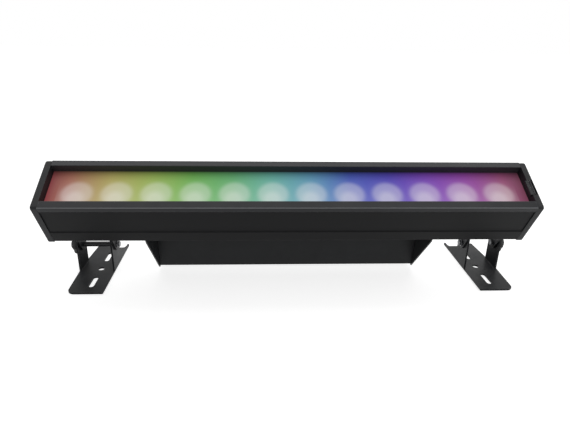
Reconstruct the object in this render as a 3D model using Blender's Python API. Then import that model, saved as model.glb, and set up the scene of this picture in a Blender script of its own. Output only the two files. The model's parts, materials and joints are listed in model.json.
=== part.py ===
"""LED strip batten on two floor brackets: parametric source of the named solid pieces.

Frame: X runs along the length, Y points to the back, Z is up, and the floor is Z = 0.
Head pieces are drawn square in their own frame (x, v, w): v is the depth measured back
from the front face and w is the distance below the bezel plane.  The head frame is then
leaned by TILT about the bracket pivots.
"""
import math

import bmesh
import bpy
from mathutils import Matrix, Vector

# ---------------------------------------------------------------- driving sizes (metres)
LENGTH = 1.000            # overall length over the end caps
DEPTH = 0.125             # head, front face to back face
HEIGHT = 0.108            # head, bezel plane to underside
TILT = math.radians(30.0)  # lean of the bezel plane towards the front
CELLS = 12                # light cells in one row
CELL_PITCH = 0.081        # centre to centre of the cells
PSU_LENGTH = 0.605        # over the two end plates of the supply box
PSU_DROP = 0.156          # supply box below the head
PIVOT_HEIGHT = 0.0603     # tilt axis above the floor
PIVOT_V = 0.076           # tilt axis behind the front face
FOOT_WIDTH = 0.0805       # floor bracket across the ears
FOOT_FRONT = 0.125        # floor plate ahead of the tilt axis
FOOT_REAR = 0.112         # floor plate behind the tilt axis
LEFT_FOOT_X = -0.44225    # centre of the left floor bracket
RIGHT_FOOT_X = 0.46635    # centre of the right floor bracket

# ---------------------------------------------------------------- shared detail sizes
GAP = 0.0003              # fit between pieces that touch
CAP = 0.014               # end cap, along the length
BEZEL = 0.012             # outer height of a bezel rail
BEZEL_FRONT = 0.018       # front rail, front to back
BEZEL_REAR = 0.015        # rear rail, front to back
RECESS = 0.0178           # diffuser face below the bezel plane
SKIN = 0.005              # side wall, outer face to inner face
PANEL_STEP = 0.002        # set-back of the upper side panels
STEEL = 0.004             # folded bracket plate
SHEET = 0.0016            # folded supply box sheet
BOLT_R = 0.004            # pivot bolt
BENCH = LENGTH / 2.0 - CAP - GAP          # half length of the extruded pieces
WEB_TOP = HEIGHT - 0.046                  # face that carries the circuit board
WEB_LOW = WEB_TOP + 0.004
BOARD_TOP = WEB_TOP - GAP - 0.0014
DIFFUSER_LOW = RECESS + 0.003
LEDGE_TOP = DIFFUSER_LOW + GAP + 0.001 + GAP
LEDGE_LOW = LEDGE_TOP + 0.003
LENS_TOP = LEDGE_LOW + 0.0105
PSU_LOW = HEIGHT + PSU_DROP
PSU_HALF = PSU_LENGTH / 2.0
PIVOT_W = PSU_LOW - 0.035
EAR_HALF = 0.028
EAR_TOP = PIVOT_HEIGHT + 0.036
TEE_FRONT_V = 0.018       # tee slots below the side walls
TEE_REAR_V = DEPTH - 0.018

HEAD = (Matrix.Translation((0.0, 0.0, PIVOT_HEIGHT))
        @ Matrix.Rotation(TILT, 4, 'X')
        @ Matrix.Translation((0.0, -PIVOT_V, PIVOT_W)))
WORLD = Matrix.Identity(4)

FINISHES = {
    "black_anodised": ((0.030, 0.031, 0.034), 0.0, 0.45),
    "black_powder": ((0.022, 0.023, 0.026), 0.0, 0.55),
    "black_sheet": ((0.026, 0.027, 0.030), 0.0, 0.50),
    "bracket_powder": ((0.036, 0.039, 0.043), 0.0, 0.48),
    "frosted_acrylic": ((0.86, 0.84, 0.86), 0.0, 0.35),
    "silicone": ((0.05, 0.05, 0.05), 0.0, 0.80),
    "white_reflector": ((0.85, 0.85, 0.84), 0.0, 0.40),
    "lens_polymer": ((0.80, 0.83, 0.86), 0.0, 0.15),
    "board_white": ((0.72, 0.74, 0.72), 0.0, 0.50),
    "board_green": ((0.02, 0.14, 0.06), 0.0, 0.45),
    "zinc_steel": ((0.55, 0.56, 0.58), 0.9, 0.35),
    "black_steel": ((0.045, 0.046, 0.050), 0.7, 0.42),
    "black_nylon": ((0.018, 0.018, 0.019), 0.0, 0.60),
    "supply_case": ((0.60, 0.61, 0.62), 0.8, 0.40),
    "display_glass": ((0.02, 0.05, 0.07), 0.0, 0.08),
    "button_grey": ((0.30, 0.31, 0.32), 0.0, 0.55),
}


# ---------------------------------------------------------------- small drawing kit
def clear_scene():
    """Remove every object that the empty start-up file carries."""
    for item in list(bpy.data.objects):
        bpy.data.objects.remove(item, do_unlink=True)


def finish(name):
    """Return the named Principled material, making it the first time."""
    found = bpy.data.materials.get(name)
    if found:
        return found
    colour, metallic, roughness = FINISHES[name]
    made = bpy.data.materials.new(name)
    made.use_nodes = True
    shader = made.node_tree.nodes["Principled BSDF"]
    shader.inputs["Base Color"].default_value = (*colour, 1.0)
    shader.inputs["Metallic"].default_value = metallic
    shader.inputs["Roughness"].default_value = roughness
    made.diffuse_color = (*colour, 1.0)
    return made


def place(name, shape, frame, origin, material):
    """Turn a bmesh drawn in `frame` into an object whose origin sits at `origin`."""
    shift = Vector(origin)
    for vert in shape.verts:
        vert.co = vert.co - shift
    bmesh.ops.recalc_face_normals(shape, faces=shape.faces)
    mesh = bpy.data.meshes.new(name)
    shape.to_mesh(mesh)
    shape.free()
    made = bpy.data.objects.new(name, mesh)
    bpy.context.scene.collection.objects.link(made)
    made.matrix_world = frame @ Matrix.Translation(shift)
    if material:
        mesh.materials.append(finish(material))
    return made


def prism(plane, points, low, high):
    """Extrude a closed outline; plane 'vw' runs along x, 'xw' along v, 'xv' along w.

    The same planes serve the floor brackets, where v is Y and w is minus Z.
    """
    shape = bmesh.new()
    rings = []
    for level in (low, high):
        ring = []
        for first, second in points:
            if plane == "vw":
                spot = (level, first, -second)
            elif plane == "xw":
                spot = (first, level, -second)
            else:
                spot = (first, second, -level)
            ring.append(shape.verts.new(spot))
        rings.append(ring)
    count = len(points)
    shape.faces.new(rings[0])
    shape.faces.new(rings[1])
    for index in range(count):
        after = (index + 1) % count
        shape.faces.new((rings[0][index], rings[0][after], rings[1][after], rings[1][index]))
    return shape


def block(x_range, v_range, w_range):
    """Square block between two limits on each axis."""
    points = [(v_range[0], w_range[0]), (v_range[1], w_range[0]),
              (v_range[1], w_range[1]), (v_range[0], w_range[1])]
    return prism("vw", points, x_range[0], x_range[1])


def reach(spec, angle):
    """Radius of a ring outline at one angle: circle, hexagon, square or lobed grip."""
    kind = spec[0]
    if kind == "circle":
        return spec[1]
    if kind == "hexagon":
        step = math.radians(60.0)
        local = (angle + step / 2.0) % step - step / 2.0
        return spec[1] / 2.0 / math.cos(local)
    if kind == "square":
        step = math.radians(90.0)
        local = (angle + step / 2.0) % step - step / 2.0
        return spec[1] / 2.0 / math.cos(local)
    return spec[1] + spec[2] * math.cos(spec[3] * angle)


def turned(axis, centre, rings, count=24, hollow=False):
    """Stack rings of one vertex count along an axis; `hollow` closes the last on the first.

    `rings` holds (height, outline) pairs, heights running in the + direction of the axis.
    """
    shape = bmesh.new()
    loops = []
    for height, spec in rings:
        loop = []
        for index in range(count):
            angle = 2.0 * math.pi * index / count
            radius = reach(spec, angle)
            first = radius * math.cos(angle)
            second = radius * math.sin(angle)
            if axis == "x":
                spot = (centre[0] + height, centre[1] + first, centre[2] + second)
            elif axis == "v":
                spot = (centre[0] + first, centre[1] + height, centre[2] + second)
            else:
                spot = (centre[0] + first, centre[1] + second, centre[2] + height)
            loop.append(shape.verts.new(spot))
        loops.append(loop)
    pairs = list(zip(loops[:-1], loops[1:]))
    if hollow:
        pairs.append((loops[-1], loops[0]))
    else:
        shape.faces.new(loops[0])
        shape.faces.new(loops[-1])
    for below, above in pairs:
        for index in range(count):
            after = (index + 1) % count
            shape.faces.new((below[index], below[after], above[after], above[index]))
    return shape


def arc(centre, radius, start, end, steps):
    """Points on an arc in degrees, ends included."""
    points = []
    for index in range(steps + 1):
        angle = math.radians(start + (end - start) * index / steps)
        points.append((centre[0] + radius * math.cos(angle), centre[1] + radius * math.sin(angle)))
    return points


def sheet_outline(path, thickness):
    """Outline of a folded sheet that follows `path` along its middle line."""
    half = thickness / 2.0
    left = []
    right = []
    count = len(path)
    for index in range(count):
        here = Vector(path[index])
        before = Vector(path[max(index - 1, 0)])
        after = Vector(path[min(index + 1, count - 1)])
        enter = (here - before).normalized() if index > 0 else (after - here).normalized()
        leave = (after - here).normalized() if index < count - 1 else enter
        normal = Vector((-enter.y, enter.x)) + Vector((-leave.y, leave.x))
        normal.normalize()
        scale = half / max(normal.dot(Vector((-enter.y, enter.x))), 0.3)
        left.append(tuple(here + normal * scale))
        right.append(tuple(here - normal * scale))
    return left + right[::-1]


def combine(target, tool, operation):
    """Add one exact Boolean step to `target`; the tool stays out of the drawing."""
    tool.hide_render = True
    tool.display_type = 'WIRE'
    step = target.modifiers.new(tool.name, 'BOOLEAN')
    step.operation = operation
    step.solver = 'EXACT'
    step.object = tool


def cut(target, shape, frame, label):
    """Subtract a bmesh drawn in `frame` from `target`."""
    tool = place("cut_" + label, shape, frame, (0.0, 0.0, 0.0), None)
    combine(target, tool, 'DIFFERENCE')


def join(target, shape, frame, label):
    """Unite a bmesh drawn in `frame` with `target`."""
    tool = place("add_" + label, shape, frame, (0.0, 0.0, 0.0), None)
    combine(target, tool, 'UNION')


# ---------------------------------------------------------------- head
def housing_outline():
    """Closed section of the extrusion: side walls, ledges, web, fins and tee slots."""
    rail_top = HEIGHT - 0.015
    roof = HEIGHT - 0.012
    lip = HEIGHT - 0.005
    band = HEIGHT - 0.030
    top = BEZEL + GAP
    slot = TEE_FRONT_V
    front = [
        (DEPTH / 2.0, WEB_TOP), (SKIN, WEB_TOP), (SKIN, LEDGE_LOW), (0.014, LEDGE_LOW),
        (0.014, LEDGE_TOP), (SKIN, LEDGE_TOP), (SKIN, top), (0.0, top), (0.0, top + 0.002),
        (PANEL_STEP, top + 0.004), (PANEL_STEP, band), (0.0, band + 0.002), (0.0, HEIGHT),
        (slot - 0.004, HEIGHT), (slot - 0.004, lip), (slot - 0.007, lip), (slot - 0.007, roof),
        (slot + 0.007, roof), (slot + 0.007, lip), (slot + 0.004, lip), (slot + 0.004, HEIGHT),
        (slot + 0.010, HEIGHT), (slot + 0.010, rail_top), (SKIN, rail_top), (SKIN, WEB_LOW),
    ]
    half_fin = 0.0012
    first = slot + 0.0150
    last = DEPTH / 2.0
    count = max(int(round((last - first) / 0.0085)), 2)
    fins = []
    for index in range(count):
        centre = first + (last - first) * index / count
        fins.append((centre - half_fin, WEB_LOW))
        fins.append((centre - half_fin * 0.7, HEIGHT - 0.008))
        fins.append((centre + half_fin * 0.7, HEIGHT - 0.008))
        fins.append((centre + half_fin, WEB_LOW))
    middle = [
        (last - half_fin, WEB_LOW), (last - half_fin * 0.7, HEIGHT - 0.008),
        (last + half_fin * 0.7, HEIGHT - 0.008), (last + half_fin, WEB_LOW),
    ]
    rear = [(DEPTH - v, w) for v, w in reversed(front[1:] + fins)]
    return front[1:] + fins + middle + rear


def build_housing():
    """Finned extrusion that carries everything in the head."""
    shape = prism("vw", housing_outline(), -BENCH, BENCH)
    place("housing", shape, HEAD, (0.0, DEPTH / 2.0, -HEIGHT), "black_anodised")


def bezel_outline(width):
    """Channel section of a bezel rail: outer leg, top flange, deep inner leg."""
    leg = 0.0025
    return [
        (0.0, BEZEL), (0.0, 0.0012), (0.0012, 0.0), (width - 0.0008, 0.0), (width, 0.0008),
        (width, RECESS - GAP), (width - leg, RECESS - GAP), (width - leg, 0.003),
        (0.003, 0.003), (0.003, BEZEL),
    ]


def build_bezel():
    """Front and rear rails of the accessory recess."""
    front = bezel_outline(BEZEL_FRONT)
    shape = prism("vw", front, -BENCH, BENCH)
    place("front_bezel_rail", shape, HEAD, (0.0, 0.0, 0.0), "black_anodised")
    rear = [(DEPTH - v, w) for v, w in bezel_outline(BEZEL_REAR)]
    shape = prism("vw", rear, -BENCH, BENCH)
    place("rear_bezel_rail", shape, HEAD, (0.0, DEPTH, 0.0), "black_anodised")


def cap_outline():
    """Side outline of an end cap: rounded corners and a lip under the front edge."""
    radius = 0.005
    lip = HEIGHT + 0.004
    points = arc((radius, radius), radius, 180, 270, 4)
    points += arc((DEPTH - radius, radius), radius, 270, 360, 4)
    points += arc((DEPTH - radius, HEIGHT - radius), radius, 0, 90, 4)
    points += [(0.0070, HEIGHT), (0.0060, lip - 0.001), (0.0050, lip), (0.0015, lip), (0.0, lip - 0.0015)]
    return points


def build_end_cap(side, name):
    """Cast end cap: solid beside the recess, hollow behind the light chamber."""
    inner = side * (LENGTH / 2.0 - CAP)
    middle = side * (LENGTH / 2.0 - 0.0035)
    outer = side * LENGTH / 2.0
    low = HEIGHT
    outline = cap_outline()
    shape = bmesh.new()
    rings = []
    centre_v = DEPTH / 2.0
    centre_w = low / 2.0
    for level, inset in ((inner, 0.0), (middle, 0.0), ((middle + outer) / 2.0, 0.0007), (outer, 0.0032)):
        ring = []
        for v, w in outline:
            scale_v = (centre_v - inset) / centre_v
            scale_w = (centre_w - inset) / centre_w
            spot_v = centre_v + (v - centre_v) * scale_v
            spot_w = centre_w + (w - centre_w) * scale_w
            ring.append(shape.verts.new((level, spot_v, -spot_w)))
        rings.append(ring)
    count = len(outline)
    shape.faces.new(rings[0])
    shape.faces.new(rings[-1])
    for below, above in zip(rings[:-1], rings[1:]):
        for index in range(count):
            after = (index + 1) % count
            shape.faces.new((below[index], below[after], above[after], above[index]))
    cap = place(name, shape, HEAD, (inner, centre_v, -centre_w), "black_powder")
    span = sorted((inner - side * 0.002, inner + side * (CAP - 0.0035)))
    hollow = block(span, (0.0035, DEPTH - 0.0035), (LEDGE_TOP + 0.002, low - 0.0035))
    cut(cap, hollow, HEAD, name + "_hollow")
    return cap


def build_latch(cap):
    """Sprung catch that keeps a colour frame in the recess, and its pocket in the cap."""
    inner = LENGTH / 2.0 - CAP
    v_low = DEPTH * 0.5 - 0.0270
    v_high = DEPTH * 0.5 + 0.0110
    pocket = block((inner - 0.002, LENGTH / 2.0 - 0.0035), (v_low, v_high), (-0.002, 0.0080))
    cut(cap, pocket, HEAD, "latch_pocket")
    nose = inner - 0.0030
    back = LENGTH / 2.0 - 0.0075
    outline = [
        (nose, 0.0022), (nose + 0.0016, 0.0006), (back - 0.0032, 0.0006), (back - 0.0026, -0.0016),
        (back - 0.0006, -0.0016), (back, 0.0006), (back, 0.0077), (nose, 0.0077),
    ]
    shape = prism("xw", outline, v_low + GAP, v_high - GAP)
    place("frame_latch", shape, HEAD, (back, DEPTH / 2.0 - 0.008, -0.004), "black_steel")


def build_end_caps():
    """Both caps; the right one holds the frame latch."""
    build_end_cap(-1, "left_end_cap")
    right = build_end_cap(1, "right_end_cap")
    build_latch(right)


def build_diffuser():
    """Frosted window and the gasket ring below it."""
    half = BENCH - 0.0008
    shape = block((-half, half), (SKIN + 0.002, DEPTH - SKIN - 0.002), (RECESS, DIFFUSER_LOW))
    place("diffuser", shape, HEAD, (0.0, DEPTH / 2.0, -RECESS), "frosted_acrylic")
    low = (DIFFUSER_LOW + GAP, DIFFUSER_LOW + GAP + 0.001)
    shape = block((-half, half), (SKIN + 0.001, DEPTH - SKIN - 0.001), low)
    ring = place("diffuser_gasket", shape, HEAD, (0.0, DEPTH / 2.0, -low[0]), "silicone")
    hole = block((-half + 0.006, half - 0.006), (0.0135, DEPTH - 0.0135), (low[0] - 0.001, low[1] + 0.001))
    cut(ring, hole, HEAD, "gasket_window")


def cell_x(index):
    """Centre of one light cell along the length."""
    return (index - (CELLS - 1) / 2.0) * CELL_PITCH


def build_reflector():
    """White trough under the window, pierced for the cell lenses."""
    flange = LEDGE_LOW + GAP + 0.0004
    floor = BOARD_TOP - 0.0025
    path = [
        (0.0075, flange), (0.0200, flange), (0.0340, floor),
        (DEPTH - 0.0340, floor), (DEPTH - 0.0200, flange), (DEPTH - 0.0075, flange),
    ]
    shape = prism("vw", sheet_outline(path, 0.0008), -BENCH + 0.001, BENCH - 0.001)
    trough = place("reflector_trough", shape, HEAD, (0.0, DEPTH / 2.0, -floor), "white_reflector")
    for index in range(CELLS):
        hole = turned("w", (cell_x(index), DEPTH / 2.0, -floor),
                      [(-0.003, ("circle", 0.0234)), (0.003, ("circle", 0.0234))], 20)
        cut(trough, hole, HEAD, "cell_hole_%02d" % (index + 1))


def build_light_engine():
    """Circuit board and one domed lens for each cell."""
    half = BENCH - 0.004
    shape = block((-half, half), (0.0370, DEPTH - 0.0370), (BOARD_TOP, BOARD_TOP + 0.0014))
    place("emitter_board", shape, HEAD, (0.0, DEPTH / 2.0, -BOARD_TOP), "board_white")
    base = BOARD_TOP - GAP
    tall = base - LENS_TOP
    for index in range(CELLS):
        rings = [
            (0.0, ("circle", 0.0228)), (tall * 0.30, ("circle", 0.0228)),
            (tall * 0.62, ("circle", 0.0205)), (tall * 0.88, ("circle", 0.0140)),
            (tall, ("circle", 0.0060)),
        ]
        centre = (cell_x(index), DEPTH / 2.0, -base)
        shape = turned("w", centre, rings, 20)
        place("cell_lens_%02d" % (index + 1), shape, HEAD, centre, "lens_polymer")


# ---------------------------------------------------------------- supply box
def supply_path():
    """Middle line of the folded sheet of the supply box."""
    back = DEPTH - 0.006
    return [
        (DEPTH - 0.0310, HEIGHT + 0.0045), (DEPTH - 0.0210, HEIGHT + 0.0045),
        (0.0380, PSU_LOW - 0.0030), (0.0405, PSU_LOW), (back, PSU_LOW),
        (back, HEIGHT + 0.0012), (DEPTH - 0.0175, HEIGHT + 0.0012),
    ]


def panel_span():
    """Length-wise and height-wise limits of the opening behind the menu panel."""
    return (-0.104, -0.016), (PSU_LOW - 0.058, PSU_LOW - 0.026)


def build_supply_box():
    """Folded box under the head, its end plates and what sits inside."""
    inside = PSU_HALF - 0.003 - GAP
    shape = prism("vw", sheet_outline(supply_path(), SHEET), -inside, inside)
    box = place("supply_box", shape, HEAD, (0.0, DEPTH / 2.0, -PSU_LOW), "black_sheet")
    x_span, w_span = panel_span()
    opening = block(x_span, (DEPTH - 0.010, DEPTH - 0.002), w_span)
    cut(box, opening, HEAD, "menu_window")
    build_supply_end(-1, "left_supply_end")
    build_supply_end(1, "right_supply_end")
    shape = block((0.030, 0.030 + PSU_LENGTH * 0.40), (0.0720, DEPTH - 0.0150), (PSU_LOW - 0.050, PSU_LOW - 0.0011))
    place("power_supply", shape, HEAD, (0.15, 0.09, -PSU_LOW), "supply_case")
    build_driver_board()


def build_driver_board():
    """Driver board on two long standoffs."""
    top = PSU_LOW - 0.0085
    low = PSU_LOW - 0.0069
    foot = PSU_LOW - 0.0011
    outline = [
        (0.0600, top), (0.1100, top), (0.1100, low), (0.1070, low), (0.1070, foot), (0.1030, foot),
        (0.1030, low), (0.0670, low), (0.0670, foot), (0.0630, foot), (0.0630, low), (0.0600, low),
    ]
    shape = prism("vw", outline, -PSU_LENGTH * 0.43, -0.010)
    place("driver_board", shape, HEAD, (-0.13, 0.085, -foot), "board_green")


def socket_spots():
    """Centres of the two sockets on an end plate, as (v, w)."""
    return [(0.0685, PSU_LOW - 0.0180), (0.1015, PSU_LOW - 0.0180)]


def build_supply_end(side, name):
    """End plate with two socket holes; its front edge slopes out to the head."""
    outline = [
        (0.0005, HEIGHT + 0.0006), (0.0005, HEIGHT + 0.0100), (0.0370, PSU_LOW + 0.0045),
        (0.0400, PSU_LOW + 0.0055), (DEPTH - 0.0055, PSU_LOW + 0.0055), (DEPTH - 0.0030, PSU_LOW + 0.0030),
        (DEPTH - 0.0030, HEIGHT + 0.0006),
    ]
    limits = sorted((side * (PSU_HALF - 0.003), side * PSU_HALF))
    shape = prism("vw", outline, limits[0], limits[1])
    plate = place(name, shape, HEAD, (side * PSU_HALF, DEPTH / 2.0, -HEIGHT), "black_sheet")
    for index, (v, w) in enumerate(socket_spots()):
        hole = turned("x", (side * PSU_HALF, v, -w),
                      [(-0.006, ("circle", 0.0119)), (0.006, ("circle", 0.0119))], 24)
        cut(plate, hole, HEAD, "%s_%d" % (name, index))


def build_sockets():
    """Power sockets on the left end plate and data sockets on the right one."""
    names = {
        -1: ("power_inlet", "power_outlet"),
        1: ("data_inlet", "data_outlet"),
    }
    for side in (-1, 1):
        for name, (v, w) in zip(names[side], socket_spots()):
            bore = 0.0092 if side < 0 else 0.0080
            rings = [
                (-0.0200, ("circle", 0.0115)), (0.0, ("circle", 0.0115)), (0.0, ("circle", 0.0142)),
                (0.0026, ("circle", 0.0142)), (0.0026, ("circle", bore)), (-0.0160, ("circle", bore)),
            ]
            signed = [(side * height, spec) for height, spec in rings]
            centre = (side * (PSU_HALF + GAP), v, -w)
            shape = turned("x", centre, signed, 24)
            place(name, shape, HEAD, centre, "black_nylon")


def build_menu_panel():
    """Rear panel with a display and four travelling buttons."""
    x_span, w_span = panel_span()
    face = DEPTH - 0.006 + SHEET / 2.0 + GAP
    shape = block((x_span[0] - 0.006, x_span[1] + 0.006), (face, face + 0.0025), (w_span[0] - 0.006, w_span[1] + 0.006))
    panel = place("menu_panel", shape, HEAD, (x_span[0], face, -w_span[1]), "black_nylon")
    middle = (w_span[0] + w_span[1]) / 2.0
    window = block((x_span[0] + 0.006, x_span[0] + 0.042), (face - 0.001, face + 0.004), (middle - 0.008, middle + 0.008))
    cut(panel, window, HEAD, "display_window")
    shape = block((x_span[0] + 0.002, x_span[0] + 0.046), (face - 0.0055, face - GAP), (middle - 0.013, middle + 0.013))
    place("display", shape, HEAD, (x_span[0] + 0.024, face, -middle), "display_glass")
    shape = block((x_span[0] + 0.001, x_span[1] - 0.001), (face - 0.0075, face - 0.0059), (w_span[0] + 0.001, w_span[1] - 0.001))
    place("menu_board", shape, HEAD, (x_span[0], face - 0.0075, -middle), "board_green")
    spots = [(0.055, -0.008), (0.055, 0.008), (0.071, -0.008), (0.071, 0.008)]
    for index, (x, w) in enumerate(spots):
        centre = (x_span[0] + x, face, -(middle + w))
        hole = turned("v", centre, [(-0.002, ("circle", 0.0048)), (0.004, ("circle", 0.0048))], 16)
        cut(panel, hole, HEAD, "button_hole_%d" % (index + 1))
        rings = [
            (-0.0038, ("circle", 0.0056)), (-GAP - 0.0004, ("circle", 0.0056)), (-GAP - 0.0004, ("circle", 0.0045)),
            (0.0042, ("circle", 0.0045)), (0.0047, ("circle", 0.0038)),
        ]
        shape = turned("v", centre, rings, 16)
        place("menu_button_%d" % (index + 1), shape, HEAD, centre, "button_grey")


def build_safety_lug():
    """Lug for a safety bond, bolted to the rear tee slot."""
    outline = [(TEE_REAR_V - 0.011, HEIGHT + GAP), (TEE_REAR_V + 0.010, HEIGHT + GAP),
               (TEE_REAR_V + 0.010, HEIGHT + 0.016)]
    outline += arc((TEE_REAR_V - 0.001, HEIGHT + 0.018), 0.011, 0, 180, 8)
    outline.append((TEE_REAR_V - 0.012, HEIGHT + 0.016))
    x = -(PSU_HALF + 0.045)
    shape = prism("vw", outline, x - 0.0025, x + 0.0025)
    lug = place("safety_lug", shape, HEAD, (x, TEE_REAR_V, -HEIGHT), "zinc_steel")
    hole = turned("x", (x, TEE_REAR_V - 0.001, -(HEIGHT + 0.018)),
                  [(-0.005, ("circle", 0.0065)), (0.005, ("circle", 0.0065))], 20)
    cut(lug, hole, HEAD, "safety_eye")


# ---------------------------------------------------------------- hangers and feet
def across(centre, side, offset):
    """X of a bracket feature; offsets run from the inner ear (-) to the outer ear (+)."""
    return centre + side * offset


def arm_outline():
    """Tapered hanger arm: wide under the head, round about the pivot."""
    radius = 0.014
    spread = 0.022
    points = [(PIVOT_V - spread, HEIGHT + GAP), (PIVOT_V + spread, HEIGHT + GAP)]
    points += arc((PIVOT_V, PIVOT_W), radius, 4, 176, 12)
    return points


def build_hanger(side, centre, name):
    """Folded hanger under the head: web, two arms, bolt holes."""
    half = FOOT_WIDTH / 2.0
    inner = sorted((across(centre, side, -half - GAP - STEEL), across(centre, side, -half - GAP)))
    outer = sorted((across(centre, side, half - 2.0 * STEEL - GAP), across(centre, side, half - STEEL - GAP)))
    web = (min(inner[0], outer[0]), max(inner[1], outer[1]))
    shape = block(web, (0.0110, DEPTH - 0.0080), (HEIGHT + GAP, HEIGHT + GAP + STEEL))
    pivot = (centre, PIVOT_V, -PIVOT_W)
    hanger = place(name, shape, HEAD, (centre, PIVOT_V, -HEIGHT), "bracket_powder")
    for label, span in (("inner", inner), ("outer", outer)):
        join(hanger, prism("vw", arm_outline(), span[0], span[1]), HEAD, "%s_%s" % (name, label))
    reach_x = FOOT_WIDTH
    bore = [(-reach_x, ("circle", BOLT_R + GAP)), (reach_x, ("circle", BOLT_R + GAP))]
    cut(hanger, turned("x", pivot, bore, 20), HEAD, name + "_bore")
    for label, v in (("front", TEE_FRONT_V), ("rear", TEE_REAR_V)):
        hole = [(-0.01, ("circle", 0.0037)), (0.01, ("circle", 0.0037))]
        cut(hanger, turned("w", (centre, v, -HEIGHT), hole, 16), HEAD, "%s_%s_hole" % (name, label))


def build_tee_bolt(centre, v, name):
    """Tee-headed bolt from a housing slot down through a hanger, nut included."""
    rings = [
        (0.0112, ("square", 0.0132)), (0.0050 + GAP, ("square", 0.0132)), (0.0050 + GAP, ("circle", 0.0034)),
        (-(2.0 * GAP + STEEL), ("circle", 0.0034)), (-(2.0 * GAP + STEEL), ("hexagon", 0.0130)),
        (-(2.0 * GAP + STEEL) - 0.0055, ("hexagon", 0.0130)),
    ]
    shape = turned("w", (centre, v, -HEIGHT), rings, 24)
    place(name, shape, HEAD, (centre, v, -HEIGHT), "zinc_steel")


def ear_outline(gusset):
    """Side outline of one ear in (y, -z); the inner ear runs on as a rear gusset."""
    top = -EAR_TOP
    radius = 0.014
    points = [(-EAR_HALF, -0.001)]
    points += arc((-EAR_HALF + radius, top + radius), radius, 180, 270, 6)
    points += arc((EAR_HALF - radius, top + radius), radius, 270, 360, 6)
    if gusset:
        points += [(EAR_HALF, -0.036), (0.082, -0.0085), (FOOT_REAR, -0.0065), (FOOT_REAR, -0.001)]
    else:
        points += [(EAR_HALF, -0.001)]
    return points


def plate_outline(side, centre):
    """Plan of the floor plate: straight inner edge, tapered outer edge, notched rear."""
    half = FOOT_WIDTH / 2.0
    points = [(-half, -FOOT_FRONT), (half - 0.0205, -FOOT_FRONT)]
    points += arc((half - 0.0185, -FOOT_FRONT + 0.0160), 0.0160, 270, 355, 6)
    points += [
        (half, -EAR_HALF - 0.002), (half, EAR_HALF + 0.002), (half - 0.0055, FOOT_REAR),
        (half - 0.034, FOOT_REAR), (half - 0.040, FOOT_REAR - 0.015), (-half + 0.010, FOOT_REAR - 0.015),
        (-half + STEEL, FOOT_REAR - 0.004), (-half + STEEL, FOOT_REAR), (-half, FOOT_REAR),
    ]
    return [(across(centre, side, x), y) for x, y in points]


def slot_outline(centre, low, high, radius):
    """Plan of a round-ended slot along y."""
    points = arc((centre, low + radius), radius, 180, 360, 8)
    points += arc((centre, high - radius), radius, 0, 180, 8)
    return points


def build_foot(side, centre, name):
    """Floor bracket: plate, two ears, two fixing slots, centre hole, pivot bores."""
    half = FOOT_WIDTH / 2.0
    shape = prism("xv", plate_outline(side, centre), -STEEL, 0.0)
    foot = place(name, shape, WORLD, (centre, 0.0, PIVOT_HEIGHT), "bracket_powder")
    inner = sorted((across(centre, side, -half), across(centre, side, -half + STEEL)))
    outer = sorted((across(centre, side, half - STEEL), across(centre, side, half)))
    join(foot, prism("vw", ear_outline(True), inner[0], inner[1]), WORLD, name + "_inner_ear")
    join(foot, prism("vw", ear_outline(False), outer[0], outer[1]), WORLD, name + "_outer_ear")
    line = across(centre, side, -half + 0.0340)
    for label, low, high in (("front", -0.101, -0.054), ("rear", 0.022, 0.068)):
        slot = prism("xv", slot_outline(line, low, high, 0.0058), -0.01, 0.003)
        cut(foot, slot, WORLD, "%s_%s_slot" % (name, label))
    hole = [(-0.004, ("circle", 0.0075)), (0.010, ("circle", 0.0075))]
    cut(foot, turned("w", (line, -0.0165, 0.0), hole, 20), WORLD, name + "_hole")
    bore = [(-FOOT_WIDTH, ("circle", BOLT_R + GAP)), (FOOT_WIDTH, ("circle", BOLT_R + GAP))]
    cut(foot, turned("x", (centre, 0.0, PIVOT_HEIGHT), bore, 20), WORLD, name + "_bore")


def build_knob(side, centre, name):
    """Lobed clamping knob outside the outer ear, threaded on the pivot bolt."""
    half = FOOT_WIDTH / 2.0
    face = across(centre, side, half + GAP)
    bore = ("circle", BOLT_R + GAP)
    rings = [
        (0.0, ("circle", 0.0150)), (0.0018, ("circle", 0.0150)), (0.0018, ("lobe", 0.0205, 0.0018, 6)),
        (0.0098, ("lobe", 0.0205, 0.0018, 6)), (0.0112, ("lobe", 0.0190, 0.0016, 6)), (0.0112, ("circle", 0.0115)),
        (0.0170, ("circle", 0.0110)), (0.0170, bore), (0.0, bore),
    ]
    signed = [(side * height, spec) for height, spec in rings]
    shape = turned("x", (face, 0.0, PIVOT_HEIGHT), signed, 36, hollow=True)
    place(name, shape, WORLD, (face, 0.0, PIVOT_HEIGHT), "black_nylon")


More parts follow.
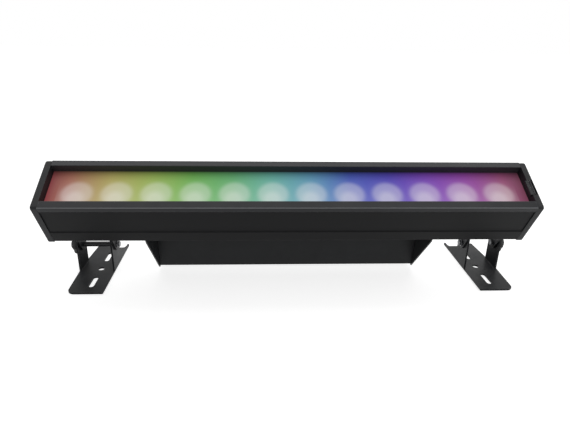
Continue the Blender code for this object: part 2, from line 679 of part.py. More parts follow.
def build_long_bolt(side, centre):
    """Through bolt of the left bracket with its spacer tube between the plates."""
    half = FOOT_WIDTH / 2.0
    head = across(centre, side, -half - 2.0 * GAP - STEEL)
    tip = FOOT_WIDTH + 3.0 * GAP + STEEL + 0.0155
    rings = [
        (-0.0060, ("hexagon", 0.0130)), (-0.0016, ("hexagon", 0.0130)), (-0.0016, ("circle", 0.0085)),
        (0.0, ("circle", 0.0085)), (0.0, ("circle", BOLT_R)), (tip, ("circle", BOLT_R)),
    ]
    signed = [(side * height, spec) for height, spec in rings]
    shape = turned("x", (head, 0.0, PIVOT_HEIGHT), signed, 24)
    place("left_pivot_bolt", shape, WORLD, (head, 0.0, PIVOT_HEIGHT), "zinc_steel")
    start = across(centre, side, -half + STEEL + GAP)
    length = FOOT_WIDTH - 3.0 * STEEL - 3.0 * GAP
    rings = [
        (0.0, ("circle", 0.0060)), (length, ("circle", 0.0060)),
        (length, ("circle", BOLT_R + GAP)), (0.0, ("circle", BOLT_R + GAP)),
    ]
    signed = [(side * height, spec) for height, spec in rings]
    shape = turned("x", (start, 0.0, PIVOT_HEIGHT), signed, 24, hollow=True)
    place("left_spacer_tube", shape, WORLD, (start, 0.0, PIVOT_HEIGHT), "black_steel")


def build_short_bolts(side, centre):
    """Separate pivot bolts of the right bracket, one through each ear."""
    half = FOOT_WIDTH / 2.0
    head = across(centre, side, -half - 2.0 * GAP - STEEL)
    rings = [
        (-0.0060, ("hexagon", 0.0130)), (-0.0016, ("hexagon", 0.0130)), (-0.0016, ("circle", 0.0085)),
        (0.0, ("circle", 0.0085)), (0.0, ("circle", BOLT_R)), (2.0 * STEEL + 3.0 * GAP, ("circle", BOLT_R)),
        (2.0 * STEEL + 3.0 * GAP, ("hexagon", 0.0130)), (2.0 * STEEL + 3.0 * GAP + 0.0050, ("hexagon", 0.0130)),
    ]
    signed = [(side * height, spec) for height, spec in rings]
    shape = turned("x", (head, 0.0, PIVOT_HEIGHT), signed, 24)
    place("right_inner_bolt", shape, WORLD, (head, 0.0, PIVOT_HEIGHT), "zinc_steel")
    seat = across(centre, side, half - 2.0 * STEEL - 2.0 * GAP)
    rings = [
        (-0.0050, ("hexagon", 0.0130)), (0.0, ("hexagon", 0.0130)), (0.0, ("circle", BOLT_R)),
        (2.0 * STEEL + 3.0 * GAP + 0.0155, ("circle", BOLT_R)),
    ]
    signed = [(side * height, spec) for height, spec in rings]
    shape = turned("x", (seat, 0.0, PIVOT_HEIGHT), signed, 24)
    place("right_outer_bolt", shape, WORLD, (seat, 0.0, PIVOT_HEIGHT), "zinc_steel")


def build_supports():
    """Hangers, tee bolts, floor brackets, pivot bolts and knobs of both ends."""
    for side, centre, word in ((-1, LEFT_FOOT_X, "left"), (1, RIGHT_FOOT_X, "right")):
        build_hanger(side, centre, word + "_hanger")
        bolt_x = min(max(centre, -BENCH + 0.012), BENCH - 0.012)
        build_tee_bolt(bolt_x, TEE_FRONT_V, word + "_front_tee_bolt")
        build_tee_bolt(bolt_x, TEE_REAR_V, word + "_rear_tee_bolt")
        build_foot(side, centre, word + "_foot")
        build_knob(side, centre, word + "_clamp_knob")
    build_long_bolt(-1, LEFT_FOOT_X)
    build_short_bolts(1, RIGHT_FOOT_X)


# ---------------------------------------------------------------- whole object
def centre_on_origin():
    """Slide everything so the box round all pieces is centred on X and Y."""
    bpy.context.view_layer.update()
    graph = bpy.context.evaluated_depsgraph_get()
    low = Vector((1e9, 1e9, 1e9))
    high = -low
    for item in bpy.data.objects:
        if item.hide_render:
            continue
        solid = item.evaluated_get(graph)
        mesh = solid.to_mesh()
        for vert in mesh.vertices:
            spot = item.matrix_world @ vert.co
            low = Vector(map(min, low, spot))
            high = Vector(map(max, high, spot))
        solid.to_mesh_clear()
    shift = Vector((-(low.x + high.x) / 2.0, -(low.y + high.y) / 2.0, 0.0))
    for item in bpy.data.objects:
        item.matrix_world = Matrix.Translation(shift) @ item.matrix_world


def main():
    """Draw the whole batten."""
    clear_scene()
    build_housing()
    build_bezel()
    build_end_caps()
    build_diffuser()
    build_reflector()
    build_light_engine()
    build_supply_box()
    build_sockets()
    build_menu_panel()
    build_safety_lug()
    build_supports()
    centre_on_origin()


main()
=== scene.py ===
"""LED strip batten: finishes, fittings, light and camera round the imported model.

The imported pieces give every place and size.  Pieces of the head are drawn in the head's
own frame (x, v, h): v is the depth behind the front face and h the height above the bezel
plane, so a place inside the head has a negative h.  Everything else is drawn in the row
frame.  All sizes are in metres.
"""

import json
import logging
import math
from collections.abc import Callable, Sequence
from dataclasses import dataclass, field, replace
from enum import Enum
from functools import cache

import bmesh
import bpy
from mathutils import Matrix, Vector

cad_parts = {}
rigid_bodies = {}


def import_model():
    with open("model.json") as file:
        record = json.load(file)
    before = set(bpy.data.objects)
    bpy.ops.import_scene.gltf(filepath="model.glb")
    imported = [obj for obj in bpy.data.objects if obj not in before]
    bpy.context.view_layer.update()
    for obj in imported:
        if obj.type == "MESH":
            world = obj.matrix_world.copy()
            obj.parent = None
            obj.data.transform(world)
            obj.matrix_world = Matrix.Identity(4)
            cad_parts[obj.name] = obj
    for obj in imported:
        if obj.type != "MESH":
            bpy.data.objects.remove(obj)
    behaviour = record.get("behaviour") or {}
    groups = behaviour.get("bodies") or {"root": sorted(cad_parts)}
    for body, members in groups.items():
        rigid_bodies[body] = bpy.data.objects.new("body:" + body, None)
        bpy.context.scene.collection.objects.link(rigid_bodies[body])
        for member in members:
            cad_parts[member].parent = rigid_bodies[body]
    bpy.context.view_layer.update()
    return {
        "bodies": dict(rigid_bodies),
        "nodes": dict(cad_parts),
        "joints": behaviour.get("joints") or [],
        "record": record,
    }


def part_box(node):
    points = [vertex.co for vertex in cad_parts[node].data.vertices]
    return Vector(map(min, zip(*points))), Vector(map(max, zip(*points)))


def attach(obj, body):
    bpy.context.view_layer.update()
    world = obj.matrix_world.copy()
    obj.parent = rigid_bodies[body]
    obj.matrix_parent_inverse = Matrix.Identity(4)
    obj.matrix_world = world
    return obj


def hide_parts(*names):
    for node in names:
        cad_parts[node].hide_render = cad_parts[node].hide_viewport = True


LOG = logging.getLogger("batten")

Colour = tuple[float, float, float]
Point2 = tuple[float, float]
Point3 = Sequence[float]
Ring = Point2 | Callable[[float], Point2]
Edge = Callable[[Vector, Vector], bool]
Output = bpy.types.NodeSocket
Feed = Output | float | tuple[float, ...]

FULL_TURN = 2.0 * math.pi
WELD_DISTANCE = 1e-6        # vertices closer than this are one
FLAT_ANGLE = 0.02           # faces bent by less than this are one, in radians
BEND = 32.0                 # edges bent by more degrees than this are rounded
SHARP_BEND = 40.0           # the same, on a piece that is rounded in steps
NEAR = 1e-4                 # how close to a face counts as on it
NOISE_SPAN = (0.3, 0.7)     # where most of a noise's values lie
WHITE = (1.0, 1.0, 1.0, 1.0)


class Axis(Enum):
    """Direction that an outline is extruded or a profile is turned about."""

    X = 0
    Y = 1
    Z = 2


class Grain(Enum):
    """Texture that a finish shows close up."""

    POWDER = "powder coat"
    DRAWN = "drawn extrusion"
    MOULDED = "moulded skin"
    PLATED = "plated metal"


def srgb(red: int, green: int, blue: int) -> Colour:
    """Turn a display colour into a linear one.

    Args:
        red: Red from 0 to 255.
        green: Green from 0 to 255.
        blue: Blue from 0 to 255.

    Returns:
        The linear colour that shaders take.
    """
    linear = []
    for level in (red, green, blue):
        share = level / 255.0
        linear.append(share / 12.92 if share <= 0.04045 else ((share + 0.055) / 1.055) ** 2.4)
    return linear[0], linear[1], linear[2]


def scaled(colour: Colour, share: float = 1.0) -> tuple[float, ...]:
    """Colour with its parts scaled and an alpha of 1."""
    return (*(part * share for part in colour), 1.0)


# ---------------------------------------------------------------- shader wiring
class Graph:
    """Short-hand for wiring the nodes of one shader tree."""

    def __init__(self, tree: bpy.types.NodeTree) -> None:
        """Work on `tree`."""
        self.tree = tree

    def add(self, kind: str, **settings: object) -> bpy.types.Node:
        """Make a node.

        Args:
            kind: Blender's name of the node type.
            settings: Properties of the node, by name.

        Returns:
            The new node.
        """
        node = self.tree.nodes.new(kind)
        for name, value in settings.items():
            setattr(node, name, value)
        return node

    def feed(self, node: bpy.types.Node, **values: Feed) -> bpy.types.Node:
        """Link a node's inputs to outputs, or set their plain values.

        Args:
            node: The node.
            values: Its inputs by name, with underscores for spaces.

        Returns:
            The same node.
        """
        for name, value in values.items():
            self.plug(node.inputs[name.replace("_", " ")], value)
        return node

    def plug(self, socket: Output, value: Feed) -> None:
        """Link one input to an output, or set its plain value.

        Args:
            socket: The input.
            value: An output, a number or a tuple.
        """
        if isinstance(value, Output):
            self.tree.links.new(value, socket)
        else:
            socket.default_value = value

    def first(self, node: bpy.types.Node, *values: Feed) -> Output:
        """Fill a node's first inputs in order.

        Args:
            node: The node.
            values: What they take.

        Returns:
            The node's first output.
        """
        for socket, value in zip(node.inputs, values):
            self.plug(socket, value)
        return node.outputs[0]

    def math(self, operation: str, *values: Feed, clamp: bool = False) -> Output:
        """Combine numbers.

        Args:
            operation: Blender's name of the operation.
            values: One or two numbers; a sum or product may take more.
            clamp: Whether the result is kept between 0 and 1.

        Returns:
            The result's socket.
        """
        while len(values) > 2:
            values = (self.math(operation, *values[:2]), *values[2:])
        return self.first(self.add("ShaderNodeMath", operation=operation, use_clamp=clamp), *values)

    def mix(self, factor: Feed, first: Feed, second: Feed, blend: str = "MIX") -> Output:
        """Mix two colours.

        Args:
            factor: Share of the second colour.
            first: First colour.
            second: Second colour.
            blend: Blender's name of the way they mix.

        Returns:
            The mixed colour's socket.
        """
        node = self.add("ShaderNodeMix", data_type="RGBA", blend_type=blend)
        for place, value in ((0, factor), (6, first), (7, second)):
            self.plug(node.inputs[place], value)
        return node.outputs[2]

    def noise(self, vector: Feed, scale: Feed, detail: float = 2.0) -> Output:
        """Noise from 0 to 1 at a place, with `scale` cells per metre."""
        node = self.add("ShaderNodeTexNoise")
        return self.feed(node, Vector=vector, Scale=scale, Detail=detail).outputs["Fac"]

    def remap(self, value: Feed, low: float, high: float, to_low: float = 0.0, to_high: float = 1.0,
              soft: bool = False) -> Output:
        """Stretch a number from one span to another, clamped at both ends.

        Args:
            value: The number.
            low: Start of its span.
            high: End of its span.
            to_low: Result at the start.
            to_high: Result at the end.
            soft: Whether the ramp eases in and out.

        Returns:
            The stretched number's socket.
        """
        kind = "SMOOTHSTEP" if soft else "LINEAR"
        node = self.add("ShaderNodeMapRange", interpolation_type=kind)
        return self.first(node, value, low, high, to_low, to_high)

    def spread(self, noise: Feed, low: float = 0.0, high: float = 1.0) -> Output:
        """Stretch a noise to the span from `low` to `high`."""
        return self.remap(noise, *NOISE_SPAN, low, high)

    def ramp(self, factor: Feed, stops: Sequence[tuple[float, Colour]]) -> Output:
        """Look a colour up on a ramp.

        Args:
            factor: Place on the ramp, 0 to 1.
            stops: Places and linear colours.

        Returns:
            The colour's socket.
        """
        node = self.add("ShaderNodeValToRGB")
        elements = node.color_ramp.elements
        while len(elements) < len(stops):
            elements.new(0.5)
        for element, (place, colour) in zip(elements, stops):
            element.position = place
            element.color = scaled(colour)
        return self.first(node, factor)

    def stretched(self, vector: Feed, scale: tuple[float, float, float]) -> Output:
        """Place scaled along each axis."""
        return self.first(self.add("ShaderNodeVectorMath", operation="MULTIPLY"), vector, scale)

    def split(self, vector: Feed) -> tuple[Output, ...]:
        """Three parts of a place."""
        return tuple(self.feed(self.add("ShaderNodeSeparateXYZ"), Vector=vector).outputs)

    def group(self, tree: bpy.types.NodeTree, **values: Feed) -> bpy.types.Node:
        """Place a node group, with its inputs filled."""
        return self.feed(self.add("ShaderNodeGroup", node_tree=tree), **values)

    def bump(self, shader: bpy.types.Node, height: Feed, depth: float) -> None:
        """Give a shader a fine relief of `height`, 0 to 1, that spans `depth`."""
        node = self.feed(self.add("ShaderNodeBump"), Strength=1.0, Distance=depth, Height=height)
        self.feed(shader, Normal=node.outputs["Normal"])

    def shown(self) -> Output:
        """Tell rays that show a thing from rays that only light others with it.

        Returns:
            A socket: 1 for straight, mirrored and transmitted rays, else 0.
        """
        rays = self.add("ShaderNodeLightPath").outputs
        kinds = ("Is Camera Ray", "Is Glossy Ray", "Is Transmission Ray")
        return self.math("MAXIMUM", *(rays[kind] for kind in kinds))


def open_group(name: str, inputs: Sequence[str], outputs: Sequence[str]
               ) -> tuple[Graph, bpy.types.Node, bpy.types.Node]:
    """Make an empty node group with a Vector input.

    Args:
        name: Name of the group.
        inputs: Names of its number inputs.
        outputs: Names of its number outputs.

    Returns:
        The wiring short-hand, the input node and the output node.
    """
    tree = bpy.data.node_groups.new(name, "ShaderNodeTree")
    tree.interface.new_socket(name="Vector", in_out="INPUT", socket_type="NodeSocketVector")
    for way, labels in (("INPUT", inputs), ("OUTPUT", outputs)):
        for label in labels:
            tree.interface.new_socket(name=label, in_out=way, socket_type="NodeSocketFloat")
    graph = Graph(tree)
    return graph, graph.add("NodeGroupInput"), graph.add("NodeGroupOutput")


@cache
def fine_grain(kind: Grain) -> bpy.types.NodeTree:
    """Fine surface texture.

    Args:
        kind: Which texture.

    Returns:
        A group from Vector and Size to Height and Tone.
    """
    graph, source, result = open_group(kind.value, ["Size"], ["Height", "Tone"])
    place = source.outputs["Vector"]
    scale = graph.math("DIVIDE", 1.0, source.outputs["Size"])
    if kind is Grain.DRAWN:
        height = graph.noise(graph.stretched(place, (0.012, 1.0, 1.0)), scale, 3.0)
        tone = graph.noise(graph.stretched(place, (0.6, 14.0, 14.0)), 6.0, 3.0)
    elif kind is Grain.PLATED:
        height = graph.noise(place, scale, 4.0)
        tone = graph.noise(place, 420.0, 2.0)
    elif kind is Grain.MOULDED:
        cells = graph.add("ShaderNodeTexVoronoi", feature="SMOOTH_F1")
        height = graph.feed(cells, Vector=place, Scale=scale).outputs["Distance"]
        tone = graph.noise(place, 60.0, 3.0)
    else:
        coarse = graph.noise(place, scale, 1.0)
        fine = graph.noise(place, graph.math("MULTIPLY", scale, 3.1), 1.0)
        height = graph.math("ADD", coarse, graph.math("MULTIPLY", fine, 0.35))
        tone = graph.noise(place, 24.0, 4.0)
    graph.feed(result, Height=height, Tone=tone)
    return graph.tree


@cache
def edge_wear_and_highlight() -> bpy.types.NodeTree:
    """Rubbed edges, and on the front rail also a painted highlight along them.

    Returns:
        A group from Vector, Reach and Amount to Mask.
    """
    graph, source, result = open_group("edge wear and highlight", ["Reach", "Amount"], ["Mask"])
    rounded = graph.add("ShaderNodeBevel", samples=4)
    graph.feed(rounded, Radius=source.outputs["Reach"])
    shape = graph.add("ShaderNodeNewGeometry")
    likeness = graph.add("ShaderNodeVectorMath", operation="DOT_PRODUCT")
    graph.first(likeness, rounded.outputs[0], shape.outputs["Normal"])
    turned_away = graph.remap(likeness.outputs["Value"], 0.995, 0.86)
    patches = graph.remap(graph.noise(source.outputs["Vector"], 95.0, 4.0), 0.42, 0.66)
    rubbed = graph.math("MULTIPLY", turned_away, graph.math("ADD", patches, 0.25))
    graph.feed(result, Mask=graph.math("MULTIPLY", rubbed, source.outputs["Amount"], clamp=True))
    return graph.tree


@cache
def settled_dust() -> bpy.types.NodeTree:
    """Dust on what faces up.

    Returns:
        A group from Vector and Amount to Mask.
    """
    graph, source, result = open_group("settled dust", ["Amount"], ["Mask"])
    shape = graph.add("ShaderNodeNewGeometry")
    upward = graph.remap(graph.split(shape.outputs["Normal"])[2], 0.35, 1.0)
    clouds = graph.remap(graph.noise(source.outputs["Vector"], 16.0, 5.0), 0.35, 0.75)
    specks = graph.remap(graph.noise(source.outputs["Vector"], 900.0, 2.0), 0.62, 0.70)
    parts = (graph.math("MULTIPLY", clouds, 0.6), graph.math("MULTIPLY", specks, 0.5))
    laid = graph.math("MULTIPLY", graph.math("ADD", *parts), upward)
    graph.feed(result, Mask=graph.math("MULTIPLY", laid, source.outputs["Amount"], clamp=True))
    return graph.tree


# ---------------------------------------------------------------- finishes
@dataclass(frozen=True)
class Finish:
    """What every finish has: the record's slot, and an end to its name for a variant."""

    slot: str
    variant: str = field(default="", kw_only=True)

    def blank(self) -> tuple[bpy.types.Material, Graph, bpy.types.Node, Output]:
        """Start the material.

        Returns:
            The material, its wiring short-hand, its Principled shader and the place socket.
        """
        made = bpy.data.materials.new("finish_" + self.slot + self.variant)
        made.use_nodes = True
        graph = Graph(made.node_tree)
        place = graph.add("ShaderNodeTexCoord").outputs["Object"]
        return made, graph, made.node_tree.nodes["Principled BSDF"], place


@dataclass(frozen=True)
class Surface(Finish):
    """A coated, plated or moulded finish."""

    colour: Colour
    roughness: float
    metallic: float = 0.0
    specular: float = 0.25
    grain: Grain = Grain.POWDER
    grain_size: float = 0.0009
    grain_depth: float = 0.00002
    tone: float = 0.18
    rough_spread: Point2 = (-0.04, 0.05)
    wear: float = 0.35
    wear_reach: float = 0.0012
    worn_and_highlight_colour: Colour = (0.16, 0.16, 0.17)
    worn_polish: float = 0.10
    dust: float = 0.10
    dust_colour: Colour = (0.30, 0.29, 0.28)
    dust_roughness: float = 0.30

    @cache
    def material(self) -> bpy.types.Material:
        """Make the material, once.

        Returns:
            The material.
        """
        made, graph, shader, place = self.blank()
        grain = graph.group(fine_grain(self.grain), Vector=place, Size=self.grain_size).outputs
        dark, pale = scaled(self.colour, 1.0 - self.tone), scaled(self.colour, 1.0 + self.tone)
        colour = graph.mix(graph.spread(grain["Tone"]), dark, pale)
        rough = graph.spread(grain["Tone"], *(self.roughness + part for part in self.rough_spread))
        # Rubbed edges; on the front rail the pale worn colour is also a painted highlight.
        if self.wear > 0.0:
            wear = graph.group(edge_wear_and_highlight(), Vector=place, Reach=self.wear_reach, Amount=self.wear)
            mask = wear.outputs["Mask"]
            colour = graph.mix(mask, colour, scaled(self.worn_and_highlight_colour))
            rough = graph.math("SUBTRACT", rough, graph.math("MULTIPLY", mask, self.worn_polish))
        if self.dust > 0.0:
            dust = graph.group(settled_dust(), Vector=place, Amount=self.dust)
            mask = dust.outputs["Mask"]
            colour = graph.mix(mask, colour, scaled(self.dust_colour))
            rougher = graph.math("MULTIPLY", mask, self.dust_roughness)
            rough = graph.math("ADD", rough, rougher, clamp=True)
        graph.feed(shader, Base_Color=colour, Roughness=rough, Metallic=self.metallic,
                   Specular_IOR_Level=self.specular)
        graph.bump(shader, grain["Height"], self.grain_depth)
        return made


@dataclass(frozen=True)
class Spot:
    """Soft round spot of light in every cell, from its even middle to its outer end."""

    level: float
    shift_x: float
    shift_v: float
    inner: float
    outer: float


@dataclass(frozen=True)
class CellLight(Finish):
    """Light of the colour cells as it shows on the frosted window.

    The light is drawn in the head's frame: every cell throws its own colour over its part
    of the window and a pale round glow in the middle.
    """

    cells: int
    pitch: float
    middle_v: float
    near_v: float
    far_v: float
    spot_pitch: float = 0.0776
    hues: tuple[Colour, ...] = (
        srgb(132, 56, 62),
        srgb(168, 108, 88), srgb(180, 170, 94), srgb(156, 184, 86), srgb(112, 182, 84),
        srgb(102, 180, 116), srgb(104, 180, 166), srgb(94, 156, 188), srgb(68, 90, 188),
        srgb(80, 66, 186), srgb(124, 64, 186), srgb(150, 66, 168), srgb(154, 74, 118),
        srgb(112, 58, 78),
    )
    fall: tuple[Point2, ...] = (
        (0.0, 0.98), (0.45, 0.92), (0.68, 0.84), (0.82, 0.66), (0.93, 0.44), (1.0, 0.22),
    )
    spots: tuple[Spot, ...] = (
        Spot(0.42, 0.0, -0.0030, 0.0235, 0.0372),
        Spot(0.30, -0.0020, -0.0140, 0.0060, 0.0260),
        Spot(0.31, 0.0, -0.0200, 0.0100, 0.0640),
    )
    pale: Colour = srgb(236, 234, 232)
    bleach: float = 0.50

    def hue(self, graph: Graph, along: Feed, ends: bool) -> Output:
        """Wire the cells' own colours.

        Args:
            graph: Tree to wire in.
            along: Place along the length.
            ends: Whether the colour changes again towards both ends.

        Returns:
            The colour's socket.
        """
        half = self.cells * self.pitch / 2.0
        own = self.hues[1:-1]
        stops = [((index + 0.5) / len(own), hue) for index, hue in enumerate(own)]
        if ends:
            stops = [(0.0, self.hues[0]), *stops, (1.0, self.hues[-1])]
        return graph.ramp(graph.remap(along, -half, half), stops)

    def glow(self, graph: Graph, along: Feed, depth: Feed) -> Output:
        """Wire the strength of the pale spots.

        Args:
            graph: Tree to wire in.
            along: Place along the length.
            depth: Depth behind the front face.

        Returns:
            The strength's socket, 0 to 1.
        """
        step = graph.math("ADD", graph.math("DIVIDE", along, self.spot_pitch), self.cells / 2.0)
        centred = graph.math("SUBTRACT", graph.math("FRACT", step), 0.5)
        within = graph.math("MULTIPLY", centred, self.spot_pitch)
        parts = []
        for spot in self.spots:
            side = graph.math("SUBTRACT", within, spot.shift_x)
            back = graph.math("SUBTRACT", depth, self.middle_v + spot.shift_v)
            square = graph.math("ADD", *(graph.math("MULTIPLY", way, way) for way in (side, back)))
            disc = graph.remap(graph.math("SQRT", square), spot.outer, spot.inner, soft=True)
            parts.append(graph.math("MULTIPLY", disc, spot.level))
        reach = self.cells * self.spot_pitch / 2.0
        inside = graph.remap(graph.math("ABSOLUTE", along), reach + 0.001, reach - 0.001)
        return graph.math("MULTIPLY", graph.math("ADD", *parts), inside, clamp=True)

    def material(self) -> bpy.types.Material:
        """Make the window's material: satin acrylic with the cells' light in it.

        Returns:
            The material.
        """
        made, graph, shader, place = self.blank()
        along, depth, _ = graph.split(place)
        hue = self.hue(graph, along, True)
        fall = [(share, (level,) * 3) for share, level in self.fall]
        level = graph.ramp(graph.remap(depth, self.near_v, self.far_v), fall)
        lit = graph.mix(1.0, hue, level, "MULTIPLY")
        tinted = graph.mix(self.bleach, hue, scaled(self.pale))
        light = graph.mix(self.glow(graph, along, depth), lit, tinted)
        frost = graph.group(fine_grain(Grain.POWDER), Vector=place, Size=0.0007).outputs
        dark, pale = (0.018, 0.018, 0.019, 1.0), (0.026, 0.026, 0.027, 1.0)
        tint = graph.mix(graph.spread(frost["Tone"]), dark, pale)
        rough = graph.spread(frost["Tone"], 0.38, 0.48)
        graph.feed(shader, Emission_Color=light, Emission_Strength=0.92, Base_Color=tint,
                   Roughness=rough, Specular_IOR_Level=0.10)
        graph.bump(shader, frost["Height"], 0.00001)
        return made


@dataclass(frozen=True)
class CellLens(CellLight):
    """Clear lens that carries its cell's colour."""

    @cache
    def material(self) -> bpy.types.Material:
        """Make the lenses' material, once.

        Returns:
            The material.
        """
        made, graph, shader, place = self.blank()
        hue = self.hue(graph, graph.split(place)[0], False)
        ripple = graph.noise(place, 140.0, 1.0)
        tint = graph.mix(ripple, (0.70, 0.72, 0.74, 1.0), (0.84, 0.86, 0.88, 1.0))
        graph.feed(shader, Emission_Color=hue, Emission_Strength=0.8, Base_Color=tint,
                   Roughness=graph.spread(ripple, 0.08, 0.16), Coat_Weight=0.4)
        return made


@dataclass(frozen=True)
class BoardFinish(Finish):
    """Solder mask with a pattern of tracks and pads."""

    mask: Colour
    track: Colour
    pitch: float = 0.004

    @cache
    def material(self) -> bpy.types.Material:
        """Make the board's material, once.

        Returns:
            The material.
        """
        made, graph, shader, place = self.blank()
        bricks = graph.add("ShaderNodeTexBrick")
        graph.feed(bricks, Vector=place, Scale=0.25 / self.pitch, Mortar_Size=0.012,
                   Color1=scaled(self.mask), Color2=scaled(self.mask, 1.15),
                   Mortar=scaled(self.track))
        graph.feed(shader, Base_Color=bricks.outputs["Color"], Coat_Weight=0.2,
                   Roughness=graph.spread(graph.noise(place, 40.0, 3.0), 0.32, 0.5))
        return made


@dataclass(frozen=True)
class ReadoutFinish(Finish):
    """Dark display glass with a few lit bars."""

    slot: str = "display_glass"
    lit: Colour = (0.10, 0.62, 0.85)
    rows: float = 260.0

    def material(self) -> bpy.types.Material:
        """Make the display's material.

        Returns:
            The material.
        """
        made, graph, shader, place = self.blank()
        height = graph.split(place)[2]
        rows = graph.math("FRACT", graph.math("MULTIPLY", height, self.rows))
        bars = graph.math("LESS_THAN", rows, 0.38)
        steps = graph.noise(graph.stretched(place, (60.0, 1.0, self.rows)), 1.0, 0.0)
        lit = graph.math("MULTIPLY", bars, graph.math("GREATER_THAN", steps, 0.47))
        shade = graph.noise(place, 55.0, 2.0)
        tint = graph.mix(shade, (0.006, 0.014, 0.020, 1.0), (0.012, 0.026, 0.036, 1.0))
        light = graph.mix(lit, (0.004, 0.030, 0.045, 1.0), scaled(self.lit))
        graph.feed(shader, Base_Color=tint, Emission_Color=light, Emission_Strength=0.8,
                   Roughness=graph.spread(shade, 0.06, 0.12))
        return made


DRAWN = Surface("black_anodised", (0.0070, 0.0072, 0.0078), 0.42, grain=Grain.DRAWN,
                grain_size=0.0007, grain_depth=0.000006, tone=0.12, dust=0.08)
ANODISED = replace(DRAWN, specular=0.08, wear=0.30)
# Lighter copy of the anodised black for the rear rail: painted light, standing in for the window's
# glow falling on it.
REAR_PAINTED_LIGHT = replace(DRAWN, variant="_rear", colour=(0.030, 0.031, 0.034), roughness=0.38,
                     specular=0.22)
# Strong edge wear with a pale worn colour: partly rubbed anodising, partly a painted highlight
# along the rail's edges.
RAIL_BLACK = replace(DRAWN, variant="_rail", colour=(0.009, 0.0098, 0.012), roughness=0.32,
                     specular=0.19, tone=0.10, wear=0.85, wear_reach=0.0026,
                     worn_and_highlight_colour=(0.15, 0.155, 0.165))
# Pale colour on the forward and upward faces of the front rail's rounding: a painted highlight, not
# the rail's own colour.
RAIL_PAINTED_HIGHLIGHT = replace(DRAWN, variant="_rail_painted_highlight", colour=(0.155, 0.160, 0.168), roughness=0.32,
                    specular=0.30, tone=0.14, wear=0.0, dust=0.05)
CAST_BLACK = Surface("black_powder", (0.014, 0.0145, 0.016), 0.46, specular=0.18,
                     grain_size=0.0010, grain_depth=0.00003, dust=0.08)
SHEET_BLACK = Surface("black_sheet", (0.016, 0.0168, 0.018), 0.46, specular=0.20)
BRACKET = Surface("bracket_powder", (0.0115, 0.0125, 0.014), 0.46, specular=0.13,
                  grain_size=0.0011, grain_depth=0.00003, wear=0.55,
                  worn_and_highlight_colour=(0.22, 0.22, 0.23), dust=0.12)
SILICONE = Surface("silicone", (0.05, 0.05, 0.05), 0.8, grain=Grain.MOULDED, grain_size=0.0008,
                   wear=0.0, dust=0.2)
WHITE_TROUGH = Surface("white_reflector", (0.82, 0.82, 0.81), 0.4, specular=0.5, tone=0.03,
                       wear=0.0, dust=0.0)
ZINC = Surface("zinc_steel", (0.34, 0.345, 0.36), 0.26, metallic=1.0, specular=0.5,
               grain=Grain.PLATED, grain_size=0.0012, grain_depth=0.00001, tone=0.10, wear=0.4,
               worn_and_highlight_colour=(0.75, 0.75, 0.76))
DULL_ZINC = replace(ZINC, variant="_dull", colour=(0.085, 0.087, 0.092), roughness=0.30,
                    tone=0.12, wear=0.5, worn_and_highlight_colour=(0.55, 0.55, 0.56), dust=0.05)
CONTACT = replace(ZINC, variant="_gilt", colour=(0.72, 0.52, 0.22), roughness=0.25,
                  grain_size=0.0008, tone=0.06, wear=0.0, dust=0.0)
BLACK_STEEL = Surface("black_steel", (0.020, 0.0205, 0.022), 0.36, metallic=0.4,
                      grain=Grain.PLATED, grain_size=0.0012, grain_depth=0.00001, wear=0.6,
                      worn_and_highlight_colour=(0.28, 0.28, 0.29))
NYLON = Surface("black_nylon", (0.018, 0.018, 0.019), 0.55, specular=0.3, grain=Grain.MOULDED,
                grain_size=0.0007, grain_depth=0.00003, wear=0.2, worn_and_highlight_colour=(0.07, 0.07, 0.07))
SUPPLY_CASE = Surface("supply_case", (0.58, 0.59, 0.60), 0.38, metallic=0.9, specular=0.5,
                      grain=Grain.DRAWN, tone=0.06, wear=0.2, worn_and_highlight_colour=(0.7, 0.7, 0.7),
                      dust=0.05)
KEY_GREY = Surface("button_grey", (0.28, 0.29, 0.30), 0.5, grain=Grain.MOULDED,
                   grain_size=0.0006, wear=0.2, worn_and_highlight_colour=(0.38, 0.38, 0.38))
WHITE_BOARD = BoardFinish("board_white", (0.70, 0.72, 0.70), (0.60, 0.46, 0.25))
GREEN_BOARD = BoardFinish("board_green", (0.015, 0.13, 0.05), (0.45, 0.36, 0.12))


# ---------------------------------------------------------------- drawing meshes
def lobed(radius: float, height: float, lobes: int, swell: float) -> Ring:
    """Ring that swells and narrows `lobes` times."""
    return lambda angle: (radius + swell * math.cos(lobes * angle), height)


def hexagon(flats: float, height: float, chamfer: float = 0.0) -> Ring:
    """Ring of a hexagon bar, its corners cut back by a 30 degree turning.

    Args:
        flats: Size across the flats.
        height: Place along the axis of the flat face.
        chamfer: +1 where the cut corners fall below `height`, -1 above, 0 for none.

    Returns:
        The ring.
    """
    step = math.radians(60.0)

    def ring(angle: float) -> Point2:
        """Point of the ring.

        Args:
            angle: Angle about the axis.

        Returns:
            Radius and place along the axis.
        """
        local = (angle + step / 2.0) % step - step / 2.0
        radius = flats / 2.0 / math.cos(local)
        return radius, height - chamfer * (radius - flats / 2.0) * math.tan(step / 2.0)

    return ring


def middle(low: Vector, high: Vector, **fixed: float) -> Vector:
    """Middle of a box.

    Args:
        low: Its lowest corner.
        high: Its highest corner.
        fixed: Parts that take a given place instead, by name.

    Returns:
        The middle.
    """
    spot = (low + high) / 2.0
    for part, place in fixed.items():
        setattr(spot, part, place)
    return spot


